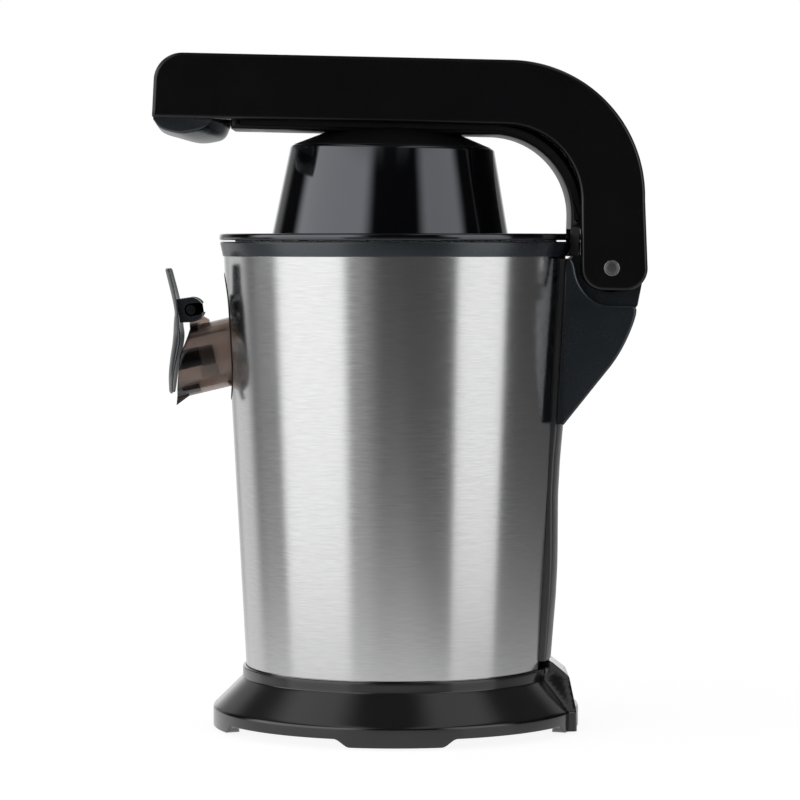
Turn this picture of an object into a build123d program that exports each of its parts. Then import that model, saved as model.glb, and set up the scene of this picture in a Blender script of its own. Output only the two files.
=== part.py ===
"""Lever citrus juice press: a motor-driven reamer in a steel tower, pressed by a hinged lever.

Millimetres and degrees, +Z up. The tower's axis is Z, the floor is Z = 0, the spout points
to -Y and the lever's hinge lies behind the tower on +Y, along X.
"""
from build123d import *
import os
from math import atan2, cos, pi, radians, sin, sqrt

os.makedirs("parts", exist_ok=True)

# ------------------------------------------------------------------ driving dimensions

# Tower
shell_bottom_z = 27.0
shell_bottom_r = 74.75
shell_top_z = 235.0
shell_top_r = 85.86
shell_wall = 0.8
shell_gap_angle = 19.5          # half of the steel's open rear seam
liner_gap = 0.25                # steel to inner housing
liner_wall = 2.4
collar_lap = 0.39               # how far the collar overhangs the steel
collar_flare = 1.5
collar_wall = 10.25
collar_rise = 7.2
collar_seat = 3.0
collar_top_z = shell_top_z + collar_rise
collar_drop_z = shell_top_z - collar_seat      # where the collar sits on the inner housing
collar_bottom_r = shell_top_r + collar_lap
collar_top_r = collar_bottom_r + collar_flare
collar_bore_r = collar_bottom_r - collar_wall
collar_edge_r = 0.6

# Front slot, where the spout comes out
slot_width = 38.0
slot_below = 72.0               # the steel's top edge down to the slot's foot
slot_above = 8.0                # the steel's top edge down to the slot's crown
slot_low_z = shell_top_z - slot_below
slot_high_z = shell_top_z - slot_above
bezel_wall = 1.4
bezel_proud = 1.0

# Base
lip_proud = 1.95
lip_below = 1.9
lip_above = 3.7
lip_r = shell_bottom_r + lip_proud
lip_low_z = shell_bottom_z - lip_below
lip_top_z = shell_bottom_z + lip_above
base_flare = 14.8
rim_r = lip_r + base_flare
rim_z = 10.5
skirt_bottom_z = 4.7
pad_bottom_z = 0.8              # underside of the four pads moulded on the skirt
pad_ring = 7.0
pad_angles = ((0, 14.0, 19.0), (90, 24.0, 29.0), (180, 14.0, 19.0), (270, 24.0, 29.0))
base_wall = 2.6
deck_wall = 2.6
foot_r = 8.0
foot_inset = 16.5
foot_circle_r = rim_r - foot_inset
foot_recess = 1.2
plate_wall = 2.4
plate_gap = 0.4
block_top_z = 34.0
block_top_proud = 0.2
block_top_y = lip_r + block_top_proud
block_mid_z = 26.5
block_mid_inset = 5.3
block_mid_y = rim_r - block_mid_inset
block_low_inset = 2.0
block_low_y = rim_r - block_low_inset
block_top_half = 17.0
block_mid_half = 20.0
block_low_half = 33.0
gland_r = 6.0
gland_bore_r = 3.6
gland_z = 17.5

# Lever hinge
pin_back = 20.2                 # the pin's centre behind the steel's top edge
pin_drop = 5.74                 # and below it
pin_y = shell_top_r + pin_back
pin_z = shell_top_z - pin_drop
pin_r = 3.9
pin_fit = 0.05
bush_r = 5.6
bush_flange_r = 8.0
bush_flange = 0.5

# Rear spine and hinge bracket
spine_proud = 2.6
spine_drop = 1.3
spine_top_z = shell_top_z - spine_drop
spine_side_gap = 0.86066         # spine to the edges of the steel's seam, at the top
spine_top_half = shell_top_r * sin(radians(shell_gap_angle)) - spine_side_gap
spine_taper = 4.2
spine_low_half = spine_top_half - spine_taper
bracket_half = 32.0
bracket_gap = 0.3
tongue_half = 23.2
tongue_r = 12.6
bracket_edge_r = 1.6

# Lever arm, in its level position, before it is set at its resting tilt
rest_tilt = 1.27
arm_half = 32.0
arm_wall = 3.0
arm_front_y = -121.1
arm_rise = 68.74                # the pin's centre up to the arm's underside
arm_depth = 32.1
arm_under_z = pin_z + arm_rise
arm_top_z = arm_under_z + arm_depth
arm_nose_r = 14.0
arm_back = 15.6
arm_back_y = pin_y + arm_back
arm_outer_r = 67.0
arm_leg = 31.76
leg_wall = 2.7
arm_inner_y = arm_back_y - arm_leg
arm_inner_r = 36.8
arm_edge_r = 1.8
cheek_r = 15.2                  # the foot of the arm, ahead of the pin,
cheek_back = 17.7               # behind it
cheek_drop = 11.25              # and below it
cheek_flat = (-4.0, 6.0)        # flat part of its underside
cheek_inner = 24.0
cheek_rise = 18.24
cheek_top_z = pin_z + cheek_rise
cover_half = 27.6
cover_proud = 4.4
cover_front = 38.6
cover_front_y = arm_front_y + cover_front
cover_inner_r = 39.5
cover_back = 4.1
cover_deep = 6.0
cover_back_y = arm_inner_y - cover_back
cover_slope = 1.8
grip_half = 31.2

# Juice bowl
disc_gap = 0.7                  # collar to the bowl's rim, taken up by the gasket
disc_lap = 0.35
disc_wall = 3.3
rim_disc_r = collar_top_r + disc_lap
rim_disc_z = collar_top_z + disc_gap
rim_disc_top_z = rim_disc_z + disc_wall
bowl_clear = 3.0
bowl_r = collar_bore_r - bowl_clear
rim_step = 7.5
rim_bore_r = bowl_r - rim_step
bowl_wall = 2.2
bowl_depth = 67.8
bowl_floor_z = rim_disc_z - bowl_depth
bowl_floor_rise = 5.0
tube_r = 9.5
tube_bore_r = 7.0
spout_r = 16.9
spout_bore_r = 14.6
spout_start = 10.4
spout_rise = 12.05
spout_y = -(bowl_r + spout_start)
spout_z = bowl_floor_z + spout_rise
spout_fall = 13.3
gasket_sunk = 1.8
gasket_inset = 2.2
gasket_wide = 2.05
gasket_low_z = collar_top_z - gasket_sunk
gasket_in_r = collar_bore_r + gasket_inset
gasket_out_r = gasket_in_r + gasket_wide

# Strainer
sieve_gap = 0.5
sieve_drop = 10.2
sieve_depth = 10.5
sieve_rim_r = rim_bore_r - sieve_gap
sieve_ledge_z = rim_disc_top_z - sieve_drop
sieve_dish_r = 43.0
sieve_floor_z = sieve_ledge_z - sieve_depth
sieve_wall = 1.4
sieve_slots = 24
sieve_slot = 1.8

# Drip stop
drip_pin_out = 18.3
drip_pin_rise = 21.25
drip_pin_y = spout_y - drip_pin_out
drip_pin_z = spout_z + drip_pin_rise
drip_pin_r = 2.5
drip_fit = 0.08
drip_half = 18.0
drip_tab_half = 12.0
drip_lug_in = 6.2
drip_lug_out = 12.0
drip_lug_r = 6.2
pivot_half = 5.6

# Reamer
reamer_r = 37.0
reamer_drop = 7.5
reamer_low_z = rim_disc_z - reamer_drop
reamer_height = 44.2
reamer_core = 0.8
reamer_fins = 10
reamer_fin = 3.2
tube_drop = 8.4
tube_top_z = reamer_low_z - tube_drop

# Press bell and cup, on the lever
bell_y = -2.9
bell_drop = 11.1
bell_top_z = arm_under_z - bell_drop
bell_top_r = 50.75
bell_dip = 4.3
bell_low_z = rim_disc_z - bell_dip
bell_clear = 5.65
bell_low_r = rim_bore_r - bell_clear
bell_wall = 2.8
bell_edge_r = 1.6
crown_r = 27.0
crown_rise = 9.3
crown_z = bell_top_z + crown_rise
crown_seat = 1.0
crown_seat_z = arm_under_z + crown_seat
cup_step = 11.85
cup_rim_r = bell_low_r - cup_step
cup_lift = 2.0
cup_rim_z = bell_low_z + cup_lift
cup_drop = 4.9
cup_apex_z = bell_top_z - cup_drop
cup_wall = 1.9
cup_ribs = 10
cup_screw_r = 3.0

# Drive
press_travel = 2.0
shaft_r = 4.0
shaft_fit = 0.05
shaft_low_z = 121.6
shaft_in_reamer = 26.6
shaft_top_z = reamer_low_z + shaft_in_reamer
motor_r = 36.0
motor_low_z = 44.0
motor_high_z = 100.0
motor_wall = 1.5
cap_wall = 4.0
case_y = 12.0
case_r = 48.0
case_wall = 2.5
case_high_z = 137.0
cover_wall = 3.0
gear_centres = 30.0
stage1_module = 1.0
stage1_teeth = (12, 48)
stage2_module = 1.25
stage2_teeth = (12, 36)
tooth_backlash = 0.36
rotor_shaft_r = 3.0
axle_r = 3.0
spring_r = 10.6
spring_wire_r = 0.7
spring_turns = 4
seat_z = 150.0
seat_wall = 3.0
post_x = 15.0
post_r = 2.0
switch_x = 27.0

# ------------------------------------------------------------------ shared forms

made = []


def save(piece, name):
    """Label a finished piece and write its STEP file."""
    piece.part.label = name
    export_step(piece.part, f"parts/{name}.step")
    made.append(name)


def shell_r(z):
    """Outer radius of the steel cone at height z."""
    share = (z - shell_bottom_z) / (shell_top_z - shell_bottom_z)
    return shell_bottom_r + share * (shell_top_r - shell_bottom_r)


def turned(points):
    """Solid of revolution about Z from a closed outline of (radius, height) points."""
    with BuildPart() as body:
        with BuildSketch(Plane.XZ):
            with BuildLine():
                Polyline(*points, close=True)
            make_face()
        revolve(axis=Axis.Z)
    return body.part


def cone_band(low_z, high_z, inner, outer):
    """Band that follows the steel cone, from inner to outer millimetres off its surface."""
    return turned([
        (shell_r(low_z) + inner, low_z), (shell_r(low_z) + outer, low_z),
        (shell_r(high_z) + outer, high_z), (shell_r(high_z) + inner, high_z),
    ])


def side_slab(points, half, at=0.0):
    """Slab of a closed (Y, Z) outline, half thick each side of X = at."""
    with BuildPart() as body:
        with BuildSketch(Plane.YZ.offset(at)):
            with BuildLine():
                Polyline(*points, close=True)
            make_face()
        extrude(amount=half, both=True)
    return body.part


def placed(outline, y, z):
    """(Y, Z) outline given about the point y, z, in the tower's coordinates."""
    return [(y + dy, z + dz) for dy, dz in outline]


def slot_prism(width):
    """Upright slot with round ends that runs forward through the tower's front."""
    grow = (width - slot_width) / 2
    height = slot_high_z - slot_low_z + 2 * grow
    with BuildPart() as body:
        with BuildSketch(Plane.XZ.offset(shell_bottom_r / 2)):
            with Locations((0, (slot_low_z + slot_high_z) / 2)):
                SlotOverall(height, width, rotation=90)
        extrude(amount=shell_top_r)
    return body.part


# ------------------------------------------------------------------ base

deck_z = shell_bottom_z
deck_low_z = deck_z - deck_wall
deck_hole_r = 20.0
plate_r = rim_r - base_wall - plate_gap
plate_z = skirt_bottom_z
boss_r = 5.0
boss_count = 4
boss_inset = 29.5
boss_circle_r = rim_r - boss_inset
base_screw_r = 2.0


def pad_sector(z, half):
    """Flat ring sector of one skirt pad at height z, half degrees each side of +X."""
    with BuildSketch(Plane.XY.offset(z)) as sector:
        with BuildLine():
            outer = CenterArc((0, 0), rim_r, -half, 2 * half)
            inner = CenterArc((0, 0), rim_r - pad_ring, -half, 2 * half)
            Line(outer @ 0, inner @ 0)
            Line(outer @ 1, inner @ 1)
        make_face()
    return sector.sketch


def skirt_pad(half_low, half_high):
    """One pad under the skirt, wider at its root than at its foot."""
    with BuildPart() as pad:
        add(pad_sector(skirt_bottom_z, half_high))
        add(pad_sector(pad_bottom_z, half_low))
        loft(ruled=True)
    return pad.part


def block_section(z, y, half):
    """Level section of the rear block, from inside the flare out to y."""
    with BuildSketch(Plane.XY.offset(z)) as section:
        with BuildLine():
            Polyline((-half, lip_r - 14), (half, lip_r - 14), (half, y), (-half, y), close=True)
        make_face()
    return section.sketch


with BuildPart() as rear_block:
    add(block_section(block_top_z, block_top_y, block_top_half))
    add(block_section(block_mid_z, block_mid_y, block_mid_half))
    add(block_section(rim_z, block_low_y - 0.2, block_low_half))
    add(block_section(skirt_bottom_z, block_low_y, block_low_half))
    loft(ruled=True)

tower_clear = turned([
    (0, deck_z), (shell_bottom_r + 0.3, deck_z), (shell_r(block_top_z + 10) + 0.3, block_top_z + 10),
    (0, block_top_z + 10),
])

flare_inside = turned([
    (0, 0), (rim_r - base_wall, 0), (rim_r - base_wall, rim_z - base_wall * 0.4),
    (lip_r - base_wall, deck_low_z), (0, deck_low_z),
])

with BuildPart() as base_skirt:
    with BuildSketch(Plane.XZ):
        with BuildLine():
            Polyline(
                (rim_r, skirt_bottom_z), (rim_r, rim_z), (lip_r, lip_low_z), (lip_r, lip_top_z),
                (shell_bottom_r + 0.3, lip_top_z), (shell_bottom_r + 0.3, deck_z), (deck_hole_r, deck_z),
                (deck_hole_r, deck_low_z), (lip_r - base_wall, deck_low_z),
                (rim_r - base_wall, rim_z - base_wall * 0.4), (rim_r - base_wall, skirt_bottom_z),
                close=True,
            )
        make_face()
    revolve(axis=Axis.Z)
    add(rear_block.part)
    add(tower_clear, mode=Mode.SUBTRACT)
    add(flare_inside, mode=Mode.SUBTRACT)
    for bearing, half_low, half_high in pad_angles:
        add(skirt_pad(half_low, half_high).rotate(Axis.Z, bearing))
    with BuildSketch(Plane.XY.offset(deck_low_z)):
        with PolarLocations(boss_circle_r, boss_count, start_angle=45):
            Circle(boss_r)
    extrude(amount=plate_z + plate_wall - deck_low_z)
    with BuildSketch(Plane.XY.offset(plate_z + plate_wall)):
        with PolarLocations(boss_circle_r, boss_count, start_angle=45):
            Circle(base_screw_r)
    extrude(amount=12, mode=Mode.SUBTRACT)
    with BuildSketch(Plane.XZ.offset(-(lip_r - 16))):
        with Locations((0, gland_z)):
            Circle(gland_r)
    extrude(amount=-40, mode=Mode.SUBTRACT)
save(base_skirt, "base_skirt")

vent_count = 18
vent_in_r = 26.0
vent_out_r = 46.0
vent_width = 3.0

with BuildPart() as base_plate:
    with BuildSketch(Plane.XY.offset(plate_z)):
        Circle(plate_r)
        with PolarLocations(boss_circle_r, boss_count, start_angle=45):
            Circle(base_screw_r + 0.3, mode=Mode.SUBTRACT)
        with PolarLocations((vent_in_r + vent_out_r) / 2, vent_count):
            SlotOverall(vent_out_r - vent_in_r, vent_width, mode=Mode.SUBTRACT)
    extrude(amount=plate_wall)
save(base_plate, "base_plate")

with BuildPart() as feet:
    with BuildSketch():
        with PolarLocations(foot_circle_r, len(pad_angles)):
            Circle(foot_r)
    extrude(amount=plate_z)
    fillet(feet.edges().group_by(Axis.Z)[0], foot_recess)
save(feet, "feet")

screw_head_r = 3.6
screw_head = 1.6
base_screw_grip = 10.0

with BuildPart() as base_screws:
    with BuildSketch(Plane.XY.offset(plate_z - screw_head)):
        with PolarLocations(boss_circle_r, boss_count, start_angle=45):
            Circle(screw_head_r)
    extrude(amount=screw_head)
    with BuildSketch(Plane.XY.offset(plate_z)):
        with PolarLocations(boss_circle_r, boss_count, start_angle=45):
            Circle(base_screw_r)
    extrude(amount=plate_wall + base_screw_grip)
save(base_screws, "base_screws")

gland_out_y = block_mid_y + 0.6
with BuildPart() as cord_gland:
    with BuildSketch(Plane.XZ.offset(-gland_out_y)):
        with Locations((0, gland_z)):
            Circle(gland_r)
            Circle(gland_bore_r, mode=Mode.SUBTRACT)
    extrude(amount=14)
    fillet(cord_gland.edges().group_by(Axis.Y)[-1].sort_by(SortBy.LENGTH)[-1], 1.0)
save(cord_gland, "cord_gland")

# ------------------------------------------------------------------ tower

gap_wedge_r = 140.0

with BuildPart() as seam_wedge:
    with BuildSketch(Plane.XY.offset(shell_bottom_z - 5)):
        with BuildLine():
            reach = gap_wedge_r * sin(radians(shell_gap_angle))
            depth = gap_wedge_r * cos(radians(shell_gap_angle))
            Polyline((0, 0), (reach, depth), (-reach, depth), close=True)
        make_face()
    extrude(amount=shell_top_z - shell_bottom_z + 10)

with BuildPart() as steel_shell:
    add(cone_band(shell_bottom_z, shell_top_z, -shell_wall, 0))
    add(seam_wedge.part, mode=Mode.SUBTRACT)
    add(slot_prism(slot_width), mode=Mode.SUBTRACT)
save(steel_shell, "steel_shell")

liner_out = -(shell_wall + liner_gap)
liner_in = liner_out - liner_wall
sill_z = 160.0
sill_wall = 3.0
seal_r = 6.5

bracket_screw_heights = (shell_top_z - 67, shell_top_z - 47, shell_top_z - 13)
bracket_screw_x = 14.0
bracket_screw_r = 2.0

with BuildPart() as bracket_screws:
    for height in bracket_screw_heights:
        inner_face = shell_r(height) + liner_in
        for side in (-1, 1):
            with BuildSketch(Plane.XZ.offset(-(inner_face - 2.5))):
                with Locations((side * bracket_screw_x, height)):
                    Circle(screw_head_r)
            extrude(amount=-1.8)
            with BuildSketch(Plane.XZ.offset(-(inner_face - 2.5))):
                with Locations((side * bracket_screw_x, height)):
                    Circle(bracket_screw_r)
            extrude(amount=-(spine_proud + 8.0))
save(bracket_screws, "bracket_screws")

with BuildPart() as inner_housing:
    add(cone_band(deck_z, collar_drop_z, liner_in, liner_out))
    with BuildSketch(Plane.XY.offset(sill_z)):
        Circle(shell_r(sill_z) + liner_in + 0.5)
        Circle(seal_r, mode=Mode.SUBTRACT)
    extrude(amount=sill_wall)
    add(slot_prism(slot_width), mode=Mode.SUBTRACT)
    add(bracket_screws.part, mode=Mode.SUBTRACT)
save(inner_housing, "inner_housing")

with BuildPart() as slot_bezel:
    add(cone_band(slot_low_z - 8, slot_high_z + 5, liner_in, bezel_proud))
    add(slot_prism(slot_width), mode=Mode.INTERSECT)
    add(slot_prism(slot_width - 2 * bezel_wall), mode=Mode.SUBTRACT)
save(slot_bezel, "slot_bezel")

with BuildPart() as top_collar:
    with BuildSketch(Plane.XZ):
        with BuildLine():
            Polyline(
                (collar_bore_r, collar_drop_z), (shell_top_r + liner_out - 0.1, collar_drop_z),
                (shell_top_r + liner_out - 0.1, shell_top_z), (collar_bottom_r, shell_top_z),
                (collar_top_r, collar_top_z), (gasket_out_r, collar_top_z), (gasket_out_r, gasket_low_z),
                (gasket_in_r, gasket_low_z), (gasket_in_r, collar_top_z), (collar_bore_r, collar_top_z),
                close=True,
            )
        face = make_face()
        outer = face.vertices().filter_by_position(Axis.X, collar_top_r - 0.01, collar_top_r + 0.01)
        fillet(outer, collar_edge_r)
    revolve(axis=Axis.Z)
save(top_collar, "top_collar")

with BuildPart() as bowl_gasket:
    add(turned([
        (gasket_in_r, gasket_low_z), (gasket_out_r, gasket_low_z), (gasket_out_r, rim_disc_z),
        (gasket_in_r, rim_disc_z),
    ]))
save(bowl_gasket, "bowl_gasket")

# ------------------------------------------------------------------ rear spine and hinge bracket


def spine_prism(grow):
    """Tapering upright prism behind the tower, as wide as the spine plus grow each side."""
    low = block_top_z - 2
    with BuildPart() as body:
        with BuildSketch(Plane.XZ.offset(-shell_bottom_r / 2)):
            with BuildLine():
                Polyline(
                    (-spine_low_half - grow, low), (spine_low_half + grow, low),
                    (spine_top_half + grow, spine_top_z), (-spine_top_half - grow, spine_top_z),
                    close=True,
                )
            make_face()
        extrude(amount=-shell_top_r)
    return body.part


# How far the spine stands off the steel, up its height
spine_swell = [
    (lip_top_z + 0.4, 2.5), (47.0, 2.9), (65.0, 3.4), (80.0, 3.37), (89.0, 3.04), (116.0, 1.75),
    (134.0, 1.75), (150.0, 2.3), (spine_top_z, spine_proud),
]
with BuildPart() as rear_spine:
    add(turned(
        [(shell_r(z) + proud, z) for z, proud in spine_swell]
        + [(shell_r(z) - shell_wall, z) for z in (spine_top_z, lip_top_z + 0.4)]
    ))
    add(spine_prism(0), mode=Mode.INTERSECT)
    add(rear_block.part, mode=Mode.SUBTRACT)
    add(bracket_screws.part, mode=Mode.SUBTRACT)
save(rear_spine, "rear_spine")

# Rear edge of the wings, about the hinge pin, down to where they run into the spine
wing_back = [
    (-18.16, 1.84), (-17.26, -4.06), (-14.96, -9.36), (-11.06, -14.26), (-6.46, -17.56),
    (-1.16, -18.66), (10.64, -18.66), (12.54, -19.86), (11.44, -25.56), (7.54, -35.36),
    (2.14, -45.16), (-5.76, -54.96), (-13.56, -64.76), (-19.46, -72.16), (-23.36, -77.06),
]
wing_low_z = pin_z + wing_back[-1][1]
wing_top_y = pin_y - 19.66
wing_root_y = pin_y - 46.06
wing = [(wing_top_y, spine_top_z)] + placed(wing_back, pin_y, pin_z) + [
    (wing_root_y, wing_low_z), (wing_root_y, spine_top_z),
]
# Body under the tongue, about the pin: it fills the bracket's recess and ends flush with the arm's back
neck_line = [
    (-20.06, -14.3), (-11.1, -23.3), (9.0, -23.3), (13.3, -18.6), (15.8, -6.0), (15.6, 4.0),
    (12.6, 13.0), (0.0, 12.6), (0.0, 0.0), (-20.06, -4.0),
]
neck = placed(neck_line, pin_y, pin_z)
seat_depth = 30.0
seat_low_z = wing_low_z - 12
seat_high_z = spine_top_z + 6

with BuildPart() as spine_seat:
    add(cone_band(seat_low_z, seat_high_z, -seat_depth, spine_proud))
    add(spine_prism(bracket_gap), mode=Mode.INTERSECT)

wing_front = [
    (0, wing_low_z - 1), (pin_y - 24.0, wing_low_z - 1), (pin_y - 22.1, spine_top_z + 1),
    (0, spine_top_z + 1),
]
with BuildPart() as wing_cut:
    add(side_slab(wing_front, bracket_half + 1))
    add(spine_prism(bracket_gap), mode=Mode.SUBTRACT)

with BuildPart() as hinge_bracket:
    add(side_slab(wing, bracket_half))
    long_edges = [e for e in hinge_bracket.edges().filter_by(Axis.X, reverse=True)
                  if e.center().Y > 83 and abs(abs(e.center().X) - bracket_half) < 0.01]
    fillet(long_edges, bracket_edge_r)
    add(side_slab(neck, tongue_half))
    with BuildSketch(Plane.YZ):
        with Locations((pin_y, pin_z)):
            Circle(tongue_r)
    extrude(amount=tongue_half, both=True)
    add(cone_band(seat_low_z, seat_high_z, -seat_depth, bracket_gap), mode=Mode.SUBTRACT)
    add(spine_seat.part, mode=Mode.SUBTRACT)
    add(wing_cut.part, mode=Mode.SUBTRACT)
    with BuildSketch(Plane.YZ):
        with Locations((pin_y, pin_z)):
            Circle(bush_r)
    extrude(amount=bracket_half, both=True, mode=Mode.SUBTRACT)
    add(bracket_screws.part, mode=Mode.SUBTRACT)
save(hinge_bracket, "hinge_bracket")

with BuildPart() as hinge_bushes:
    for side in (-1, 1):
        with BuildSketch(Plane.YZ.offset(side * (tongue_half + bush_flange))):
            with Locations((pin_y, pin_z)):
                Circle(bush_flange_r)
        extrude(amount=-side * bush_flange)
        with BuildSketch(Plane.YZ.offset(side * tongue_half)):
            with Locations((pin_y, pin_z)):
                Circle(bush_r)
        extrude(amount=-side * tongue_half / 2)
    with BuildSketch(Plane.YZ):
        with Locations((pin_y, pin_z)):
            Circle(pin_r + pin_fit)
    extrude(amount=bracket_half, both=True, mode=Mode.SUBTRACT)
save(hinge_bushes, "hinge_bushes")

# ------------------------------------------------------------------ juice bowl, strainer, drip stop

spout_axis = Plane(
    origin=(0, spout_y, spout_z), x_dir=(1, 0, 0),
    z_dir=(0, -cos(radians(spout_fall)), -sin(radians(spout_fall))),
)
spout_reach = 34.0
spout_low_z = spout_z - 2.2 * spout_r
# Cut of the spout's mouth, its drip lip and the pin carrier above it, about the spout's start
mouth = [
    (-17.6, 22.85), (-19.6, 9.85), (-20.9, 5.85), (-23.4, -0.65), (-24.4, -9.35), (-26.1, -26.65),
    (-28.6, -37.15), (-56.6, -37.15), (-56.6, 22.85),
]
lip_wedge = [(-19.6, -21.75), (-26.1, -26.65), (-25.5, -20.55), (-20.6, -19.15)]
lip_half = 6.0
carrier_r = drip_pin_r + 1.9
carrier = [      # about the drip stop's pin
    (-0.8, -12.4), (8.7, -10.4), (8.7, -5.0), (3.7, -1.9), (3.7, 2.1), (-0.8, 2.1),
]


def spout_tube(radius, back):
    """Round bar along the spout, from back millimetres behind its origin to past the mouth."""
    with BuildPart() as bar:
        with BuildSketch(spout_axis.offset(-back)):
            Circle(radius)
        extrude(amount=back + spout_reach)
    return bar.part


with BuildPart() as spout_outside:
    add(spout_tube(spout_r, 16))
    add(side_slab(placed(mouth, spout_y, spout_z), 2 * spout_r), mode=Mode.SUBTRACT)
    add(turned([(0, spout_low_z), (bowl_r - 1, spout_low_z), (bowl_r - 1, tube_top_z), (0, tube_top_z)]),
        mode=Mode.SUBTRACT)

with BuildPart() as juice_bowl:
    add(turned([
        (tube_r, bowl_floor_z + bowl_floor_rise), (tube_r, tube_top_z), (tube_bore_r, tube_top_z),
        (tube_bore_r, bowl_floor_z - bowl_wall + bowl_floor_rise),
        (bowl_r - 6, bowl_floor_z - bowl_wall),
        (bowl_r, bowl_floor_z + 4), (bowl_r, rim_disc_z), (bowl_r - bowl_wall, rim_disc_z),
        (bowl_r - bowl_wall, bowl_floor_z + 5), (bowl_r - bowl_wall - 5, bowl_floor_z),
    ]))
    add(spout_outside.part)
    add(side_slab(placed(lip_wedge, spout_y, spout_z), lip_half))
    add(side_slab(placed(carrier, drip_pin_y, drip_pin_z), pivot_half))
    add(spout_tube(spout_bore_r, 22), mode=Mode.SUBTRACT)
    with BuildSketch(Plane.YZ):
        with Locations((drip_pin_y, drip_pin_z)):
            Circle(carrier_r)
    extrude(amount=pivot_half, both=True)
    with BuildSketch(Plane.YZ):
        with Locations((drip_pin_y, drip_pin_z)):
            Circle(drip_pin_r)
    extrude(amount=pivot_half, both=True, mode=Mode.SUBTRACT)
save(juice_bowl, "juice_bowl")

rim_skirt_r = rim_bore_r + 2.5
with BuildPart() as bowl_rim:
    with BuildSketch(Plane.XZ):
        with BuildLine():
            Polyline(
                (rim_bore_r, rim_disc_top_z), (rim_disc_r, rim_disc_top_z), (rim_disc_r, rim_disc_z),
                (rim_skirt_r, rim_disc_z), (rim_skirt_r, sieve_ledge_z - 2.5),
                (rim_bore_r - 3.5, sieve_ledge_z - 2.5), (rim_bore_r - 3.5, sieve_ledge_z),
                (rim_bore_r, sieve_ledge_z), close=True,
            )
        face = make_face()
        outer = face.vertices().filter_by_position(Axis.X, rim_disc_r - 0.01, rim_disc_r + 0.01)
        fillet(outer, 0.9)
    revolve(axis=Axis.Z)
save(bowl_rim, "bowl_rim")

sieve_top_z = sieve_ledge_z + sieve_wall
with BuildPart() as pulp_strainer:
    add(turned([
        (sieve_rim_r, sieve_ledge_z), (sieve_rim_r, sieve_top_z), (rim_bore_r - 6.5, sieve_top_z),
        (sieve_dish_r, sieve_floor_z + sieve_wall), (tube_r + 0.5, sieve_floor_z + sieve_wall),
        (tube_r + 0.5, sieve_floor_z), (sieve_dish_r + 0.5, sieve_floor_z),
        (rim_bore_r - 5.0, sieve_ledge_z),
    ]))
    with BuildSketch(Plane.XY.offset(sieve_floor_z - 1)):
        with PolarLocations((tube_r + sieve_dish_r) / 2 + 1, sieve_slots):
            SlotOverall(sieve_dish_r - tube_r - 9, sieve_slot)
    extrude(amount=sieve_wall + 2, mode=Mode.SUBTRACT)
    with BuildSketch(Plane.XY.offset(sieve_floor_z - 1)):
        with PolarLocations((sieve_dish_r + rim_bore_r) / 2 - 2.5, 2 * sieve_slots):
            SlotOverall(rim_bore_r - sieve_dish_r - 11, sieve_slot)
    extrude(amount=16, mode=Mode.SUBTRACT)
save(pulp_strainer, "pulp_strainer")

# Side outline of the drip stop's plate, about its pin
flap = [
    (-13.9, 19.8), (-11.3, 20.9), (-10.2, 20.2), (-6.1, 4.2), (-5.1, -7.6), (-3.9, -13.4),
    (-5.4, -21.6), (-7.5, -30.3), (-8.9, -41.5), (-10.6, -42.0), (-10.5, -32.4), (-9.4, -24.3),
    (-8.0, -15.2), (-8.6, -4.9), (-8.1, -0.6),
]
lug_root = [(-7.3, 5.6), (-0.8, 6.1), (0.0, -drip_lug_r), (-5.7, -6.9)]
lug_mouth = [(0.8, 2.2), (7.7, 3.2), (7.7, -0.8), (0.8, -1.6)]
flap_high_z = drip_pin_z + 22.6
flap_wide_z = drip_pin_z - 3.4
flap_round_z = drip_pin_z - 30.4
flap_low_z = drip_pin_z - 43.4
flap_chin_half = drip_half - 7
with BuildPart() as flap_outline:
    with BuildSketch(Plane.XZ.offset(-drip_pin_y - 2)):
        with BuildLine():
            Polyline(
                (-drip_tab_half, flap_high_z), (drip_tab_half, flap_high_z), (drip_half, flap_wide_z),
                (drip_half, flap_round_z), (flap_chin_half, flap_low_z), (-flap_chin_half, flap_low_z),
                (-drip_half, flap_round_z), (-drip_half, flap_wide_z), close=True,
            )
        make_face()
    extrude(amount=20)

with BuildPart() as drip_stop:
    add(side_slab(placed(flap, drip_pin_y, drip_pin_z), drip_half + 2))
    add(flap_outline.part, mode=Mode.INTERSECT)
    for side in (-1, 1):
        lug_mid = side * (drip_lug_in + drip_lug_out) / 2
        with BuildSketch(Plane.YZ.offset(lug_mid)):
            with Locations((drip_pin_y, drip_pin_z)):
                Circle(drip_lug_r)
            with BuildLine():
                Polyline(*placed(lug_root, drip_pin_y, drip_pin_z), close=True)
            make_face()
        extrude(amount=(drip_lug_out - drip_lug_in) / 2, both=True)
    with BuildSketch(Plane.YZ):
        with Locations((drip_pin_y, drip_pin_z)):
            Circle(drip_pin_r + drip_fit)
        with BuildLine():
            Polyline(*placed(lug_mouth, drip_pin_y, drip_pin_z), close=True)
        make_face()
    extrude(amount=drip_half, both=True, mode=Mode.SUBTRACT)
save(drip_stop, "drip_stop")

with BuildPart() as drip_pin:
    with BuildSketch(Plane.YZ):
        with Locations((drip_pin_y, drip_pin_z)):
            Circle(drip_pin_r)
    extrude(amount=drip_lug_out + 0.4, both=True)
save(drip_pin, "drip_pin")

# ------------------------------------------------------------------ reamer and its drive

# Shares of the reamer's radius and height, from its rim up to its tip
reamer_line = [
    (0.0, 0.0), (1.0, 0.0), (0.93, 0.147), (0.743, 0.441), (0.486, 0.735), (0.23, 0.932), (0.0, 1.0),
]
reamer_rim = 1.6
hub_r = shaft_r + 2.6
skirt_wall = 2.4


def reamer_outline(scale):
    """Reamer profile as (radius, height) points, its radii shrunk by scale."""
    return [(scale * r * reamer_r, reamer_low_z + h * reamer_height) for r, h in reamer_line]


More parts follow.
